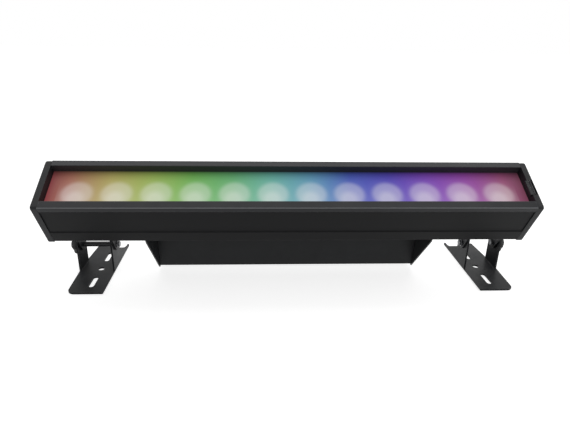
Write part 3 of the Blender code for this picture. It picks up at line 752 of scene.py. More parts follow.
def fold_edge(low: Vector, high: Vector, level: float, least: float = -1.0, most: float = NEAR,
              reach: float = 0.0) -> Edge:
    """Test for the straight edges of a fold that runs across a strip.

    Args:
        low: Lowest corner of the folded piece.
        high: Its highest corner.
        level: Height of the fold.
        least: Distance from the piece's nearer end that the fold exceeds.
        most: Distance from the piece's nearer end that it stays under.
        reach: Length that the fold exceeds.

    Returns:
        A test of an edge's two ends.
    """
    def fold(first: Vector, second: Vector) -> bool:
        """Whether an edge belongs to the fold.

        Args:
            first: One end.
            second: The other end.

        Returns:
            True where it does.
        """
        across = abs(first.x - second.x) < NEAR / 10.0
        height = max(abs(first.z - level), abs(second.z - level)) < NEAR
        inset = min(abs(first.x - low.x), abs(first.x - high.x))
        return across and height and least < inset < most and abs(first.y - second.y) >= reach

    return fold


class Draft:
    """A mesh that is being drawn."""

    def __init__(self, place: Matrix | None = None) -> None:
        """Start empty, in the frame `place`."""
        self.place = place or Matrix.Identity(4)
        self.shape = bmesh.new()

    @classmethod
    def of_node(cls, node: str, place: Matrix | None = None) -> "Draft":
        """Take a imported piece's own faces, with flat faces whole again.

        Args:
            node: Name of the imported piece.
            place: Frame to draw in.

        Returns:
            The draft.
        """
        draft = cls(place)
        shape = draft.shape
        shape.from_mesh(bpy.data.objects[node].data)
        shape.transform(draft.place.inverted())
        bmesh.ops.remove_doubles(shape, verts=shape.verts, dist=WELD_DISTANCE)
        bmesh.ops.dissolve_limit(shape, angle_limit=FLAT_ANGLE, verts=shape.verts,
                                 edges=shape.edges)
        return draft

    def prism(self, axis: Axis, outline: Sequence[Point2], low: float, high: float) -> "Draft":
        """Extrude a closed outline.

        Args:
            axis: Direction of the extrusion.
            outline: Points in the two other axes, in their order.
            low: Start.
            high: End.

        Returns:
            This draft.
        """
        ends = []
        for level in (low, high):
            spots = [list(point) for point in outline]
            for spot in spots:
                spot.insert(axis.value, level)
            ends.append([self.shape.verts.new(spot) for spot in spots])
        return self.bridge(ends)

    def turned(self, axis: Axis, centre: Point3, rings: Sequence[Ring], count: int = 48,
               side: float = 1.0, hollow: bool = False) -> "Draft":
        """Turn a profile about an axis.

        Args:
            axis: Direction of the axis.
            centre: Point on the axis where heights start.
            rings: Radius and height of each ring in order along the profile.
            count: Points in each ring.
            side: +1 or -1, the way that heights run.
            hollow: Whether the last ring closes on the first.

        Returns:
            This draft.
        """
        loops = []
        for ring in rings:
            loop = []
            for index in range(count):
                angle = FULL_TURN * index / count
                radius, height = ring(angle) if callable(ring) else ring
                spot = [radius * math.cos(angle), radius * math.sin(angle)]
                spot.insert(axis.value, side * height)
                loop.append(self.shape.verts.new([a + b for a, b in zip(spot, centre)]))
            loops.append(loop)
        return self.bridge(loops, hollow)

    def bridge(self, loops: Sequence[Sequence[bmesh.types.BMVert]], hollow: bool = False
               ) -> "Draft":
        """Skin loops of equal count.

        Args:
            loops: The loops in order.
            hollow: Whether the last joins the first; else both get an end face.

        Returns:
            This draft.
        """
        pairs = list(zip(loops[:-1], loops[1:]))
        if hollow:
            pairs.append((loops[-1], loops[0]))
        else:
            self.shape.faces.new(loops[0])
            self.shape.faces.new(loops[-1])
        for below, above in pairs:
            for index in range(len(below)):
                after = (index + 1) % len(below)
                self.shape.faces.new((below[index], below[after], above[after], above[index]))
        return self

    def soften(self, width: float, steps: int = 2, above: float = SHARP_BEND,
               pick: Edge | None = None) -> "Draft":
        """Round edges.

        Args:
            width: Width of the rounding.
            steps: Faces across it.
            above: Only edges bent by more degrees than this.
            pick: Test of an edge's two ends.

        Returns:
            This draft.
        """
        bmesh.ops.recalc_face_normals(self.shape, faces=self.shape.faces)
        limit = math.radians(above)
        chosen = [
            edge for edge in self.shape.edges
            if len(edge.link_faces) == 2 and edge.calc_face_angle(0.0) >= limit
            and (pick is None or pick(edge.verts[0].co, edge.verts[1].co))
        ]
        if chosen:
            bmesh.ops.bevel(self.shape, geom=chosen, offset=width, offset_type="OFFSET",
                            segments=steps, profile=0.5, affect="EDGES", clamp_overlap=True)
        return self

    def to_object(self, name: str) -> bpy.types.Object:
        """Put the mesh on an object, which ends the draft.

        Args:
            name: Name of the object.

        Returns:
            The object, in this draft's own frame.
        """
        mesh = bpy.data.meshes.new(name)
        self.shape.to_mesh(mesh)
        self.shape.free()
        made = bpy.data.objects.new(name, mesh)
        bpy.context.scene.collection.objects.link(made)
        return made

    def pocketed(self, axis: Axis, spots: Sequence[Point3], radius: float, depth: float,
                 side: float) -> "Draft":
        """Sink round pockets into the mesh.

        Args:
            axis: Direction of the pockets.
            spots: Their middles on the surface.
            radius: Their radius.
            depth: Their depth.
            side: +1 or -1, the way that the surface faces.

        Returns:
            This draft.
        """
        drill = Draft()
        for spot in spots:
            drill.turned(axis, spot, [(radius, -depth), (radius, depth)], 36, side)
        for draft in (self, drill):
            bmesh.ops.recalc_face_normals(draft.shape, faces=draft.shape.faces)
        body, tool = self.to_object("pocket_body"), drill.to_object("pocket_tool")
        cut = body.modifiers.new("cut", "BOOLEAN")
        cut.operation, cut.solver, cut.object = "DIFFERENCE", "EXACT", tool
        bpy.context.view_layer.update()
        graph = bpy.context.evaluated_depsgraph_get()
        result = bpy.data.meshes.new_from_object(body.evaluated_get(graph))
        self.shape = bmesh.new()
        self.shape.from_mesh(result)
        spare = [result, body.data, tool.data]
        for helper in (body, tool):
            bpy.data.objects.remove(helper)
        for mesh in spare:
            bpy.data.meshes.remove(mesh)
        return self

    def piece(self, name: str, finish: Finish, stands_for: str = "", body: str = "head",
              slot: str = "") -> bpy.types.Object:
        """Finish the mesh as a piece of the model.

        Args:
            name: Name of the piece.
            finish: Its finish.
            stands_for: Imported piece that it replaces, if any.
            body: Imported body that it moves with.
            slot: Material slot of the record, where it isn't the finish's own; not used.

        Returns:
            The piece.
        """
        bmesh.ops.recalc_face_normals(self.shape, faces=self.shape.faces)
        for face in self.shape.faces:
            face.smooth = True
        for edge in self.shape.edges:
            edge.smooth = edge.calc_face_angle(0.0) < math.radians(38.0)
        made = self.to_object(name)
        made.data.materials.append(finish.material())
        made.matrix_world = self.place
        made.modifiers.new("even_normals", "WEIGHTED_NORMAL").keep_sharp = True
        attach(made, body)
        if stands_for:
            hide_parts(stands_for)
        LOG.info("%s: %d faces on %s", name, len(made.data.polygons), body)
        return made


def dress(node: str, finish: Finish, edge: float = 0.0, steps: int = 2) -> None:
    """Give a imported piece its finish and, if asked, rounded edges.

    Args:
        node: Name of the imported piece.
        finish: Its finish.
        edge: Width of the rounding, or 0 for none.
        steps: Faces across the rounding.
    """
    piece = bpy.data.objects[node]
    piece.data.materials.clear()
    piece.data.materials.append(finish.material())
    if edge > 0.0:
        weld = piece.modifiers.new("weld", "WELD")
        weld.merge_threshold = WELD_DISTANCE
        flat = piece.modifiers.new("flat_faces", "DECIMATE")
        flat.decimate_type, flat.angle_limit = "DISSOLVE", FLAT_ANGLE
        rounded = piece.modifiers.new("rounded", "BEVEL")
        rounded.width, rounded.segments = edge, steps
        rounded.limit_method, rounded.angle_limit = "ANGLE", math.radians(BEND)
        piece.modifiers.new("even_normals", "WEIGHTED_NORMAL").keep_sharp = True
    LOG.info("%s: packed piece with %s", node, piece.data.materials[0].name)


@dataclass
class HeadFrame:
    """The head's own frame, leaned about the bracket pivots."""

    tilt: float = math.radians(30.0)
    pivot_v: float = 0.076
    pivot_below: float = 0.229
    pivot: Vector = field(default_factory=Vector)

    @classmethod
    def of_record(cls, joints: Sequence[dict]) -> "HeadFrame":
        """Find the frame from the record's joints and the housing."""
        spot = next(joint["pos_m"] for joint in joints if joint["name"] == "left_foot_tilt")
        return cls(pivot=middle(*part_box("housing"), y=spot[1], z=spot[2]))

    @property
    def matrix(self) -> Matrix:
        """Matrix from (x, v, h) to the row frame."""
        lean = Matrix.Translation(self.pivot) @ Matrix.Rotation(self.tilt, 4, "X")
        return lean @ Matrix.Translation((0.0, -self.pivot_v, self.pivot_below))

    def box(self, node: str) -> tuple[Vector, Vector]:
        """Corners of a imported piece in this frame.

        Args:
            node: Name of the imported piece.

        Returns:
            Its lowest and highest corner.
        """
        back = self.matrix.inverted()
        parts = list(zip(*(back @ vert.co for vert in bpy.data.objects[node].data.vertices)))
        return Vector([min(part) for part in parts]), Vector([max(part) for part in parts])

    def outer_face(self, node: str, side: int) -> float:
        """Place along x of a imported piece's face at the head's left (-1) or right (+1) end."""
        return self.box(node)[1 if side > 0 else 0].x


ENDS = ((-1, "left"), (1, "right"))     # side and name of the head's two ends


# ---------------------------------------------------------------- small fittings
@dataclass(frozen=True)
class CapScrew:
    """Low round-headed screw with a hexagon recess."""

    radius: float = 0.0036
    rise: float = 0.0016
    recess: float = 0.0019

    def draw(self, draft: Draft, axis: Axis, spot: Point3, side: float) -> None:
        """Draw one screw.

        Args:
            draft: Mesh to draw in.
            axis: Direction of the screw.
            spot: Where its head seats.
            side: +1 or -1, the way that its head faces.
        """
        radius, rise, flats = self.radius, self.rise, self.recess * 1.9
        rings = [
            (radius * 0.96, -0.0002), (radius, 0.0002), (radius, rise * 0.35),
            (radius * 0.90, rise * 0.72), (radius * 0.68, rise), (self.recess * 1.12, rise),
            hexagon(flats, rise * 0.92), hexagon(flats, 0.0001),
        ]
        draft.turned(axis, spot, rings, 24, side)


@dataclass
class HeadShell:
    """Extruded housing, bezel rails and cast end caps."""

    frame: HeadFrame
    edge: float = 0.0005
    rail_edge: float = 0.0009
    rail_front: float = 0.0040
    cap_corner: float = 0.0048
    cap_edge: float = 0.0011
    pocket_radius: float = 0.0044
    pocket_depth: float = 0.0019
    screw_v: Point2 = (0.016, 0.109)
    screw_h: Point2 = (-0.030, -0.094)
    plug_x: float = 0.180
    plug_h: float = -0.052

    def build(self) -> None:
        """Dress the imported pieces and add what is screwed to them."""
        dress("housing", ANODISED, self.edge)
        # The rear rail takes the lighter copy of the anodised black, which is painted light.
        dress("rear_bezel_rail", REAR_PAINTED_LIGHT, self.rail_edge, 3)
        self.front_rail()
        for side, word in ENDS:
            self.end_cap(side, word + "_end_cap")
        self.vent_plug()

    def end_cap(self, side: int, node: str) -> None:
        """Cast cap with four screws sunk in it.

        Args:
            side: -1 for the left cap, +1 for the right one.
            node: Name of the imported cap.
        """
        cap = Draft.of_node(node, self.frame.matrix)
        cap.soften(self.cap_corner, 4, pick=self.corner_of(node))
        cap.soften(self.cap_edge, 3)
        face = self.frame.outer_face(node, side)
        spots = [(face, v, h) for v in self.screw_v for h in self.screw_h]
        cap.pocketed(Axis.X, spots, self.pocket_radius, self.pocket_depth, side)
        cap.piece(node + "_cast", CAST_BLACK, node)
        screws = Draft(self.frame.matrix)
        seat = face - side * (self.pocket_depth - 0.0001)
        for _, v, h in spots:
            CapScrew().draw(screws, Axis.X, (seat, v, h), side)
        screws.piece(node + "_screws", BLACK_STEEL)

    def corner_of(self, node: str) -> Edge:
        """Test for the two upper corners of an end cap.

        Args:
            node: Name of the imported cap.

        Returns:
            A test of an edge's two ends.
        """
        low, high = self.frame.box(node)

        def corner(first: Vector, second: Vector) -> bool:
            """Whether an edge runs through the cap at an upper corner.

            Args:
                first: One end.
                second: The other end.

            Returns:
                True where it does.
            """
            through = abs(first.x - second.x) > 0.006
            upper = min(first.z, second.z) > high.z - NEAR
            side = min(abs(first.y - low.y), abs(first.y - high.y))
            return through and upper and side < NEAR

        return corner

    def front_rail(self) -> None:
        """Front rail with a wider rounding along its upper front edge, whose forward and upward
        faces carry a painted highlight.
        """
        low, high = self.frame.box("front_bezel_rail")

        def upper_front(first: Vector, second: Vector) -> bool:
            """Whether an edge is the long one at the top of the front face.

            Args:
                first: One end.
                second: The other end.

            Returns:
                True where it is.
            """
            along = abs(first.x - second.x) > 0.5
            front = max(first.y, second.y) < low.y + NEAR
            return along and front and min(first.z, second.z) > high.z - NEAR

        rail = Draft.of_node("front_bezel_rail", self.frame.matrix)
        rail.soften(self.rail_front, 5, pick=upper_front).soften(self.rail_edge)
        # Faces of the rounding that turn forward and up take the painted highlight as their second
        # material.
        for face in rail.shape.faces:
            face.normal_update()
            if face.normal.y < -0.5 and face.normal.z > 0.25:
                face.material_index = 1
        made = rail.piece("front_rail", RAIL_BLACK, "front_bezel_rail")
        made.data.materials.append(RAIL_PAINTED_HIGHLIGHT.material())

    def vent_plug(self) -> None:
        """Pressure plug on the back wall of the housing."""
        spot = (self.plug_x, self.frame.box("housing")[1].y - 0.0020, self.plug_h)
        rings = [
            (0.0086, 0.0), (0.0090, 0.0004), (0.0090, 0.0022), (0.0084, 0.0030),
            (0.0062, 0.0032), (0.0058, 0.0026), (0.0030, 0.0026), (0.0026, 0.0034),
            (0.0004, 0.0036),
        ]
        Draft(self.frame.matrix).turned(Axis.Y, spot, rings, 36).piece("vent_plug", NYLON)


@dataclass
class FrameCatch:
    """Sprung catch for a colour frame, with finger ribs."""

    frame: HeadFrame
    ribs: int = 7
    rib_width: float = 0.0014
    rib_rise: float = 0.0005

    def build(self) -> None:
        """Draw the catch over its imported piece."""
        low, high = self.frame.box("frame_latch")
        catch = Draft.of_node("frame_latch", self.frame.matrix).soften(0.0004, 2, BEND)
        foot, crest = high.z - 0.0024, high.z - 0.0022 + self.rib_rise
        outline = [(low.x + 0.0036, foot), (low.x + 0.0066, foot),
                   (low.x + 0.0062, crest), (low.x + 0.0040, crest)]
        for index in range(self.ribs):
            v = low.y + (high.y - low.y) * (index + 0.8) / (self.ribs + 0.6)
            catch.prism(Axis.Y, outline, v - self.rib_width / 2.0, v + self.rib_width / 2.0)
        catch.piece("frame_catch", BLACK_STEEL, "frame_latch", "latch")


@dataclass
class LightWindow:
    """Frosted window with what lies under it."""

    frame: HeadFrame
    cells: int = 12
    pitch: float = 0.081
    middle_v: float = 0.0530
    near_v: float = 0.0320
    far_v: float = 0.1095
    edge: float = 0.0008

    def build(self) -> None:
        """Draw the window and dress the light chamber."""
        low, high = self.frame.box("diffuser")
        outline = [(low.x, low.y), (high.x, low.y), (high.x, high.y), (low.x, high.y)]
        pane = Draft(self.frame.matrix).prism(Axis.Z, outline, low.z, high.z)
        pane.soften(self.edge, 3, BEND)
        sizes = (self.cells, self.pitch, self.middle_v, self.near_v, self.far_v)
        pane.piece("frosted_window", CellLight("frosted_acrylic", *sizes), "diffuser")
        lens = CellLens("cell_lens", *sizes)
        for index in range(self.cells):
            dress("cell_lens_%02d" % (index + 1), lens)
        dress("diffuser_gasket", SILICONE)
        dress("reflector_trough", WHITE_TROUGH)
        dress("emitter_board", WHITE_BOARD)


@dataclass
class SupplyBox:
    """Wedge box below the head."""

    frame: HeadFrame
    edge: float = 0.0004
    screw: CapScrew = CapScrew(0.0030, 0.0014, 0.0015)
    screw_count: int = 5
    screw_inset: float = 0.020
    fields: Point2 = (-0.255, 0.060)
    slots: int = 9
    slot_pitch: float = 0.017
    slot_half: float = 0.0030
    slot_reach: float = 0.0270
    slot_rise: float = 0.0026

    def build(self) -> None:
        """Dress the sheet parts and add screws and vent covers."""
        for node in ("supply_box", "left_supply_end", "right_supply_end"):
            dress(node, SHEET_BLACK, self.edge)
        dress("power_supply", SUPPLY_CASE, 0.001)
        dress("driver_board", GREEN_BOARD)
        self.cover_screws()
        self.louvres()

    def cover_screws(self) -> None:
        """Screws through the end plates and along the back wall."""
        screws = Draft(self.frame.matrix)
        for side, word in ENDS:
            node = word + "_supply_end"
            face, foot = self.frame.outer_face(node, side), self.frame.box(node)[0].z
            for v, h in ((0.030, -0.128), (0.112, -0.128), (0.048, foot + 0.014),
                         (0.1175, foot + 0.012)):
                self.screw.draw(screws, Axis.X, (face, v, h), side)
        low, high = self.frame.box("supply_box")
        span = high.x - low.x - 2.0 * self.screw_inset
        for index in range(self.screw_count):
            x = low.x + self.screw_inset + span * index / (self.screw_count - 1)
            self.screw.draw(screws, Axis.Y, (x, high.y, low.z + 0.150), 1)
        screws.piece("cover_screws", BLACK_STEEL)

    def louvres(self) -> None:
        """Two fields of pressed air slots in the back wall."""
        low, high = self.frame.box("supply_box")
        covers = Draft(self.frame.matrix)
        half, crest = high.y + self.slot_rise * 0.5, high.y + self.slot_rise
        for start in self.fields:
            for index in range(self.slots):
                x = start + index * self.slot_pitch
                for h in (low.z + 0.030, low.z + 0.070):
                    top = h + self.slot_reach
                    outline = [(high.y - 0.0003, h), (half, h + 0.0012), (crest, h + 0.0050),
                               (crest, top - 0.0050), (half, top - 0.0012), (high.y - 0.0003, top)]
                    covers.prism(Axis.X, outline, x - self.slot_half, x + self.slot_half)
        covers.piece("air_louvres", SHEET_BLACK)


class Trade(Enum):
    """What a socket carries, and which way."""

    POWER_IN = "power_inlet"
    POWER_OUT = "power_outlet"
    DATA_IN = "data_inlet"
    DATA_OUT = "data_outlet"


@dataclass
class Socket:
    """Round locking socket on an end plate of the supply box."""

    frame: HeadFrame
    trade: Trade
    lobes: int = 12

    def build(self) -> None:
        """Draw the shell, its core and its contacts."""
        node = self.trade.value
        low, high = self.frame.box(node)
        side = math.copysign(1.0, high.x)
        bore = 0.0092 if self.power else 0.0080
        centre = middle(low, high, x=high.x - 0.0026 if side > 0 else low.x + 0.0026)
        rings = [
            (0.0110, -0.0200), (0.0115, -0.0195), (0.0115, 0.0), (0.0140, 0.0001),
            (0.0142, 0.0004), (0.0142, 0.0014), lobed(0.0138, 0.0020, self.lobes, 0.0002),
            lobed(0.0132, 0.0025, self.lobes, 0.0002), (0.0122, 0.0026), (bore + 0.0012, 0.0026),
            (bore + 0.0003, 0.0021), (bore, 0.0010), (bore, -0.0160),
        ]
        shell = Draft(self.frame.matrix).turned(Axis.X, centre, rings, 48, side)
        shell.piece(node + "_shell", NYLON, node)
        outer = bore - 0.0022
        rings = [
            (outer, -0.0158), (outer, -0.0058), (outer - 0.0004, -0.0052),
            (outer * 0.35, -0.0052), (outer * 0.30, -0.0060), (0.0003, -0.0060),
        ]
        core = Draft(self.frame.matrix).turned(Axis.X, centre, rings, 36, side)
        core.piece(node + "_core", KEY_GREY, slot=NYLON.slot)
        self.contacts(centre, side)

    @property
    def power(self) -> bool:
        """Whether the socket carries power."""
        return self.trade in (Trade.POWER_IN, Trade.POWER_OUT)

    def contacts(self, centre: Vector, side: float) -> None:
        """Blades of a power socket or pins of a data socket.

        Args:
            centre: Middle of the socket's seat.
            side: The way that it faces.
        """
        count, ring = (3, 0.0046) if self.power else (5, 0.0037)
        reach = -0.0046 if self.trade in (Trade.POWER_OUT, Trade.DATA_OUT) else -0.0030
        rings = [(0.0008, -0.0060), (0.0008, reach - 0.0006), (0.0004, reach)]
        draft = Draft(self.frame.matrix)
        for index in range(count):
            angle = FULL_TURN * (index + 0.25) / (count if self.power else count + 1)
            spot = centre + ring * Vector((0.0, math.cos(angle), math.sin(angle)))
            draft.turned(Axis.X, spot, rings, 16, side)
        draft.piece(self.trade.value + "_contacts", CONTACT)


@dataclass
class MenuPanel:
    """Back panel with a readout and four keys."""

    frame: HeadFrame
    keys: int = 4
    key_radius: float = 0.0045
    arrow: float = 0.0017
    screw_inset: float = 0.0035

    def build(self) -> None:
        """Draw the panel, its readout and keys."""
        panel = Draft.of_node("menu_panel", self.frame.matrix).soften(0.0005, 3)
        low, high = self.frame.box("menu_panel")
        for x in (low.x + self.screw_inset, high.x - self.screw_inset):
            for h in (low.z + self.screw_inset, high.z - self.screw_inset):
                CapScrew(0.0020, 0.0009, 0.0010).draw(panel, Axis.Y, (x, high.y, h), 1)
        panel.piece("menu_plate", NYLON, "menu_panel")
        dress("display", ReadoutFinish(), 0.0005)
        dress("menu_board", GREEN_BOARD)
        for index in range(self.keys):
            self.key(index)

    def key(self, index: int) -> None:
        """One key cap with a raised arrow.

        Args:
            index: Which key, from 0.
        """
        node = "menu_button_%d" % (index + 1)
        low, high = self.frame.box(node)
        centre = middle(low, high, y=low.y)
        tall, radius = high.y - low.y, self.key_radius
        rings = [
            (0.0056, 0.0), (0.0056, 0.0028), (0.0053, 0.0031), (radius, 0.0031),
            (radius, tall - 0.0010), (radius - 0.0003, tall - 0.0004),
            (radius - 0.0009, tall - 0.0001), (radius - 0.0016, tall - 0.0002),
            (radius - 0.0030, tall - 0.0005),
        ]
        key = Draft(self.frame.matrix).turned(Axis.Y, centre, rings, 32)
        reach = self.arrow
        angles = [FULL_TURN * (index * 0.25 + 0.25 + corner / 3.0) for corner in range(3)]
        outline = [(centre.x + reach * math.cos(angle), centre.z + reach * math.sin(angle))
                   for angle in angles]
        key.prism(Axis.Y, outline, high.y - 0.0008, high.y)
        key.piece("key_%d" % (index + 1), KEY_GREY, node, "button_%d" % (index + 1))


# ---------------------------------------------------------------- supports
@dataclass
class FoldedStrip:
    """What both folded brackets share."""

    node: str
    frame: HeadFrame
    fold: float = 0.0034
    edge: float = 0.0005


@dataclass
class FloorBracket(FoldedStrip):
    """Folded bracket that stands on the floor."""

    plate: float = 0.004
    least_fold: float = 0.050

    def build(self) -> None:
        """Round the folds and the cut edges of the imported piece."""
        low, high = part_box(self.node)
        outer = fold_edge(low, high, low.z, reach=self.least_fold)
        inner = fold_edge(low, high, low.z + self.plate, self.plate - 0.001, self.plate + 0.001)
        draft = Draft.of_node(self.node).soften(self.fold, 4, pick=outer)
        draft.soften(self.fold * 0.5, 3, pick=inner).soften(self.edge)
        draft.piece(self.node + "_bracket", BRACKET, self.node, self.node)


@dataclass
class Hanger(FoldedStrip):
    """Folded fork under the head."""

    fold: float = 0.0032

    def build(self) -> None:
        """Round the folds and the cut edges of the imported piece."""
        low, high = self.frame.box(self.node)
        draft = Draft.of_node(self.node, self.frame.matrix)
        draft.soften(self.fold, 4, pick=fold_edge(low, high, high.z)).soften(self.edge)
        draft.piece(self.node + "_fork", BRACKET, self.node)


@dataclass
class ClampKnob:
    """Lobed clamping knob outside a bracket."""

    node: str
    body: str
    lobes: int = 6
    bore: float = 0.0043

    def build(self) -> None:
        """Draw the grip, its hub and the pressed ring in the hub."""
        low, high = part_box(self.node)
        side = math.copysign(1.0, low.x)
        centre = middle(low, high, x=high.x if side < 0 else low.x)
        grip = (
            (0.0180, 0.0018, 0.0010), (0.0196, 0.0022, 0.0016), (0.0203, 0.0032, 0.0018),
            (0.0205, 0.0056, 0.0018), (0.0203, 0.0084, 0.0018), (0.0196, 0.0101, 0.0017),
            (0.0184, 0.0110, 0.0015), (0.0166, 0.0112, 0.0010),
        )
        rings = [
            (0.0146, 0.0), (0.0150, 0.0004), (0.0150, 0.0018),
            *(lobed(radius, height, self.lobes, swell) for radius, height, swell in grip),
            (0.0140, 0.0106), (0.0124, 0.0106), (0.0115, 0.0116), (0.0111, 0.0150),
            (0.0108, 0.0162), (0.0098, 0.0170), (0.0072, 0.0170), (0.0068, 0.0164),
            (self.bore, 0.0164), (self.bore, 0.0),
        ]
        knob = Draft().turned(Axis.X, centre, rings, 96, side, hollow=True)
        knob.piece(self.node + "_grip", NYLON, self.node, self.body)
        ring = [(0.0066, 0.0160), (0.0066, 0.0167), (0.0062, 0.0169),
                (0.0048, 0.0169), (0.0045, 0.0166), (0.0045, 0.0160)]
        insert = Draft().turned(Axis.X, centre, ring, 48, side, hollow=True)
        insert.piece(self.node + "_insert", ZINC, body=self.body)


@dataclass
class PivotBolt:
    """Hexagon bolt of a bracket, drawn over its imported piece.

    Every size runs from the seat under the head; a nut stands from `nut_from` on.
    """

    node: str
    side: float
    seat: float
    washer: float
    head: float
    tip: float
    nut_from: float | None = None
    radius: float = 0.0040
    flats: float = 0.0130
    thread: float = 0.0125
    thread_pitch: float = 0.00125
    thread_depth: float = 0.0004

    def build(self) -> None:
        """Draw head, washer, shank, thread and nut as one turned piece."""
        centre = middle(*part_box(self.node), x=self.seat)
        crown, under, flats = -self.washer - self.head, -self.washer, self.flats
        rings = [
            (0.0003, crown + 0.0003), (0.0044, crown + 0.0003), (0.0052, crown),
            (flats / 2.0 * 0.96, crown), hexagon(flats, crown, -1.0), hexagon(flats, under),
        ]
        if self.washer > 0.0:
            rings += [(0.0083, under), (0.0085, under + 0.0003), (0.0085, -0.0002), (0.0083, 0.0)]
        rings.append((self.radius, 0.0))
        if self.nut_from is None:
            rings += self.threaded(self.tip - self.thread, self.tip)
        else:
            foot, top = self.nut_from, self.nut_from + 0.0050
            rings += [
                (self.radius, foot), (flats / 2.0 * 0.96, foot), hexagon(flats, foot + 0.0002),
                hexagon(flats, top, 1.0), (flats / 2.0 * 0.95, top), (0.0046, top),
                (0.0042, top - 0.0008), (0.0003, top - 0.0008),
            ]
        bolt = Draft().turned(Axis.X, centre, rings, 36, self.side)
        bolt.piece(self.node + "_hardware", DULL_ZINC, self.node)

    def threaded(self, start: float, end: float) -> list[Ring]:
        """Rings of the rolled thread.

        Args:
            start: Where the thread begins.
            end: The bolt's tip.

        Returns:
            The rings, the tip's chamfer included.
        """
        pitch, root = self.thread_pitch, self.radius - self.thread_depth
        rings = []
        for index in range(int((end - start - 0.0006) / pitch)):
            here = start + index * pitch
            rings += [(self.radius, here + pitch * 0.1), (root, here + pitch * 0.5),
                      (self.radius, here + pitch * 0.9)]
        return rings + [(self.radius, end - 0.0005), (self.radius - 0.0005, end)]


@dataclass
class Supports:
    """Both hangers, floor brackets, their bolts, knobs and the safety lug."""

    frame: HeadFrame

    def build(self) -> None:
        """Build every piece that carries the head."""
        for _, side in ENDS:
            FloorBracket(side + "_foot", self.frame).build()
            Hanger(side + "_hanger", self.frame).build()
            ClampKnob(side + "_clamp_knob", side + "_knob").build()
            for end in ("front", "rear"):
                dress("%s_%s_tee_bolt" % (side, end), ZINC, 0.0004)
        self.bolts()
        dress("left_spacer_tube", BLACK_STEEL, 0.0005)
        dress("safety_lug", ZINC, 0.0005)

    def bolts(self) -> None:
        """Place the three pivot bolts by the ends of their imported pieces."""
        low, high = (corner.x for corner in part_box("left_pivot_bolt"))
        seat = high - 0.0060
        PivotBolt("left_pivot_bolt", -1.0, seat, 0.0016, 0.0044, seat - low).build()
        low, high = (corner.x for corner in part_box("right_inner_bolt"))
        seat = low + 0.0060
        nut = high - 0.0050 - seat
        PivotBolt("right_inner_bolt", 1.0, seat, 0.0016, 0.0044, 0.0, nut).build()
        low, high = (corner.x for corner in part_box("right_outer_bolt"))
        seat = low + 0.0050
        PivotBolt("right_outer_bolt", 1.0, seat, 0.0, 0.0050, high - seat).build()


# ---------------------------------------------------------------- studio
@dataclass(frozen=True)
class SoftBox:
    """Rectangular lamp."""

    name: str
    spot: Point3
    aim: Point3
    size: Point2
    watts: float

    def build(self) -> None:
        """Hang the lamp."""
        data = bpy.data.lights.new(self.name, "AREA")
        data.shape = "RECTANGLE"
        data.size, data.size_y = self.size
        data.energy = self.watts
        lamp = bpy.data.objects.new(self.name, data)
        bpy.context.scene.collection.objects.link(lamp)
        lamp.location = self.spot
        ahead = Vector(self.aim) - Vector(self.spot)
        lamp.rotation_euler = ahead.to_track_quat("-Z", "Y").to_euler()


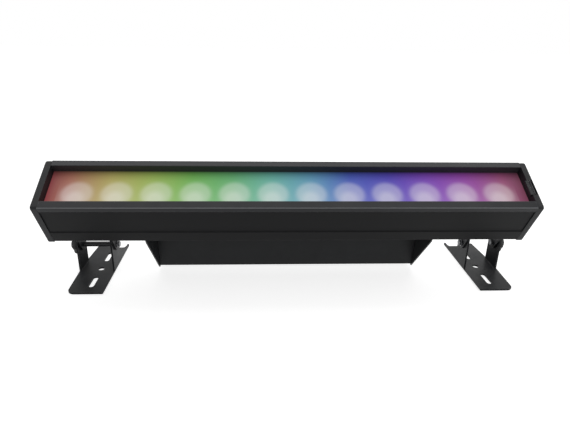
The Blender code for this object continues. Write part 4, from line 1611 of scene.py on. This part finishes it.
@dataclass
class Studio:
    """White floor, soft lamps and the camera."""

    floor_size: float = 14.0
    floor_below: float = 0.0004
    floor_colour: Colour = (0.66, 0.66, 0.66)
    floor_lift: float = 0.74
    world_level: float = 0.42
    lens: float = 31.8
    eye: tuple[float, float, float] = (-0.0684, -0.9014, 0.3546)
    yaw: float = math.radians(3.26)
    pitch: float = math.radians(22.05)
    roll: float = math.radians(1.17)
    lamps: tuple[SoftBox, ...] = (
        SoftBox("top_light", (0.0, 0.35, 1.75), (0.0, -0.02, 0.15), (2.6, 1.1), 12.0),
        SoftBox("front_light", (-0.1, -1.9, 1.05), (0.0, 0.0, 0.15), (3.0, 0.5), 6.0),
        SoftBox("back_light", (0.5, 2.0, 1.1), (0.0, 0.0, 0.12), (2.2, 1.0), 7.0),
        SoftBox("side_light", (1.9, -0.5, 0.9), (0.1, 0.0, 0.12), (1.0, 1.0), 5.0),
    )

    def build(self, frame: HeadFrame) -> None:
        """Set the scene round the batten.

        Args:
            frame: The head's frame, which the camera is placed from.
        """
        self.world()
        self.floor()
        for lamp in self.lamps:
            lamp.build()
        self.camera(frame)

    def world(self) -> None:
        """White to the camera and in reflections, grey as light."""
        world = bpy.data.worlds.new("studio_world")
        world.use_nodes = True
        bpy.context.scene.world = world
        world.node_tree.nodes.clear()
        graph = Graph(world.node_tree)
        level = graph.remap(graph.shown(), 0.0, 1.0, self.world_level, 1.0)
        background = graph.feed(graph.add("ShaderNodeBackground"), Color=WHITE, Strength=level)
        graph.feed(graph.add("ShaderNodeOutputWorld"), Surface=background.outputs[0])

    def floor(self) -> None:
        """Pale floor that is white where nothing shades it."""
        draft = Draft()
        half = self.floor_size / 2.0
        corners = ((-half, -half), (half, -half), (half, half), (-half, half))
        spots = [(x, y, -self.floor_below) for x, y in corners]
        draft.shape.faces.new([draft.shape.verts.new(spot) for spot in spots])
        floor = draft.to_object("floor")
        made, graph, shader, place = Finish("floor").blank()
        tint = graph.mix(graph.noise(place, 1.5, 2.0), scaled(self.floor_colour),
                         scaled(self.floor_colour, 1.02))
        lift = graph.math("MULTIPLY", graph.shown(), self.floor_lift)
        graph.feed(shader, Base_Color=tint, Roughness=0.9, Specular_IOR_Level=0.0,
                   Emission_Color=WHITE, Emission_Strength=lift)
        floor.data.materials.append(made)

    def camera(self, frame: HeadFrame) -> None:
        """Add the camera and make it the scene's own.

        Args:
            frame: The head's frame.
        """
        data = bpy.data.cameras.new("camera")
        data.lens = self.lens
        data.sensor_width = 36.0
        data.sensor_fit = "HORIZONTAL"
        data.clip_start, data.clip_end = 0.02, 60.0
        camera = bpy.data.objects.new("camera", data)
        bpy.context.scene.collection.objects.link(camera)
        level = Vector((math.cos(self.yaw), -math.sin(self.yaw), 0.0))
        ahead = Vector((math.sin(self.yaw), math.cos(self.yaw), 0.0)) * math.cos(self.pitch)
        ahead.z = -math.sin(self.pitch)
        above = level.cross(ahead)
        right = math.cos(self.roll) * level + math.sin(self.roll) * above
        up = -math.sin(self.roll) * level + math.cos(self.roll) * above
        turn = Matrix((right, up, -ahead)).transposed().to_4x4()
        spot = frame.matrix.translation + Vector(self.eye)
        camera.matrix_world = Matrix.Translation(spot) @ turn
        bpy.context.scene.camera = camera


def main() -> None:
    """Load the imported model, build every sub-assembly and set the studio."""
    logging.basicConfig(level=logging.INFO, format="%(name)s: %(message)s")
    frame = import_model()
    bpy.context.scene.view_settings.view_transform = "Standard"
    head = HeadFrame.of_record(frame["joints"])
    for assembly in (HeadShell, FrameCatch, LightWindow, SupplyBox):
        assembly(head).build()
    for trade in Trade:
        Socket(head, trade).build()
    MenuPanel(head).build()
    Supports(head).build()
    Studio().build(head)


if __name__ == "__main__":
    main()
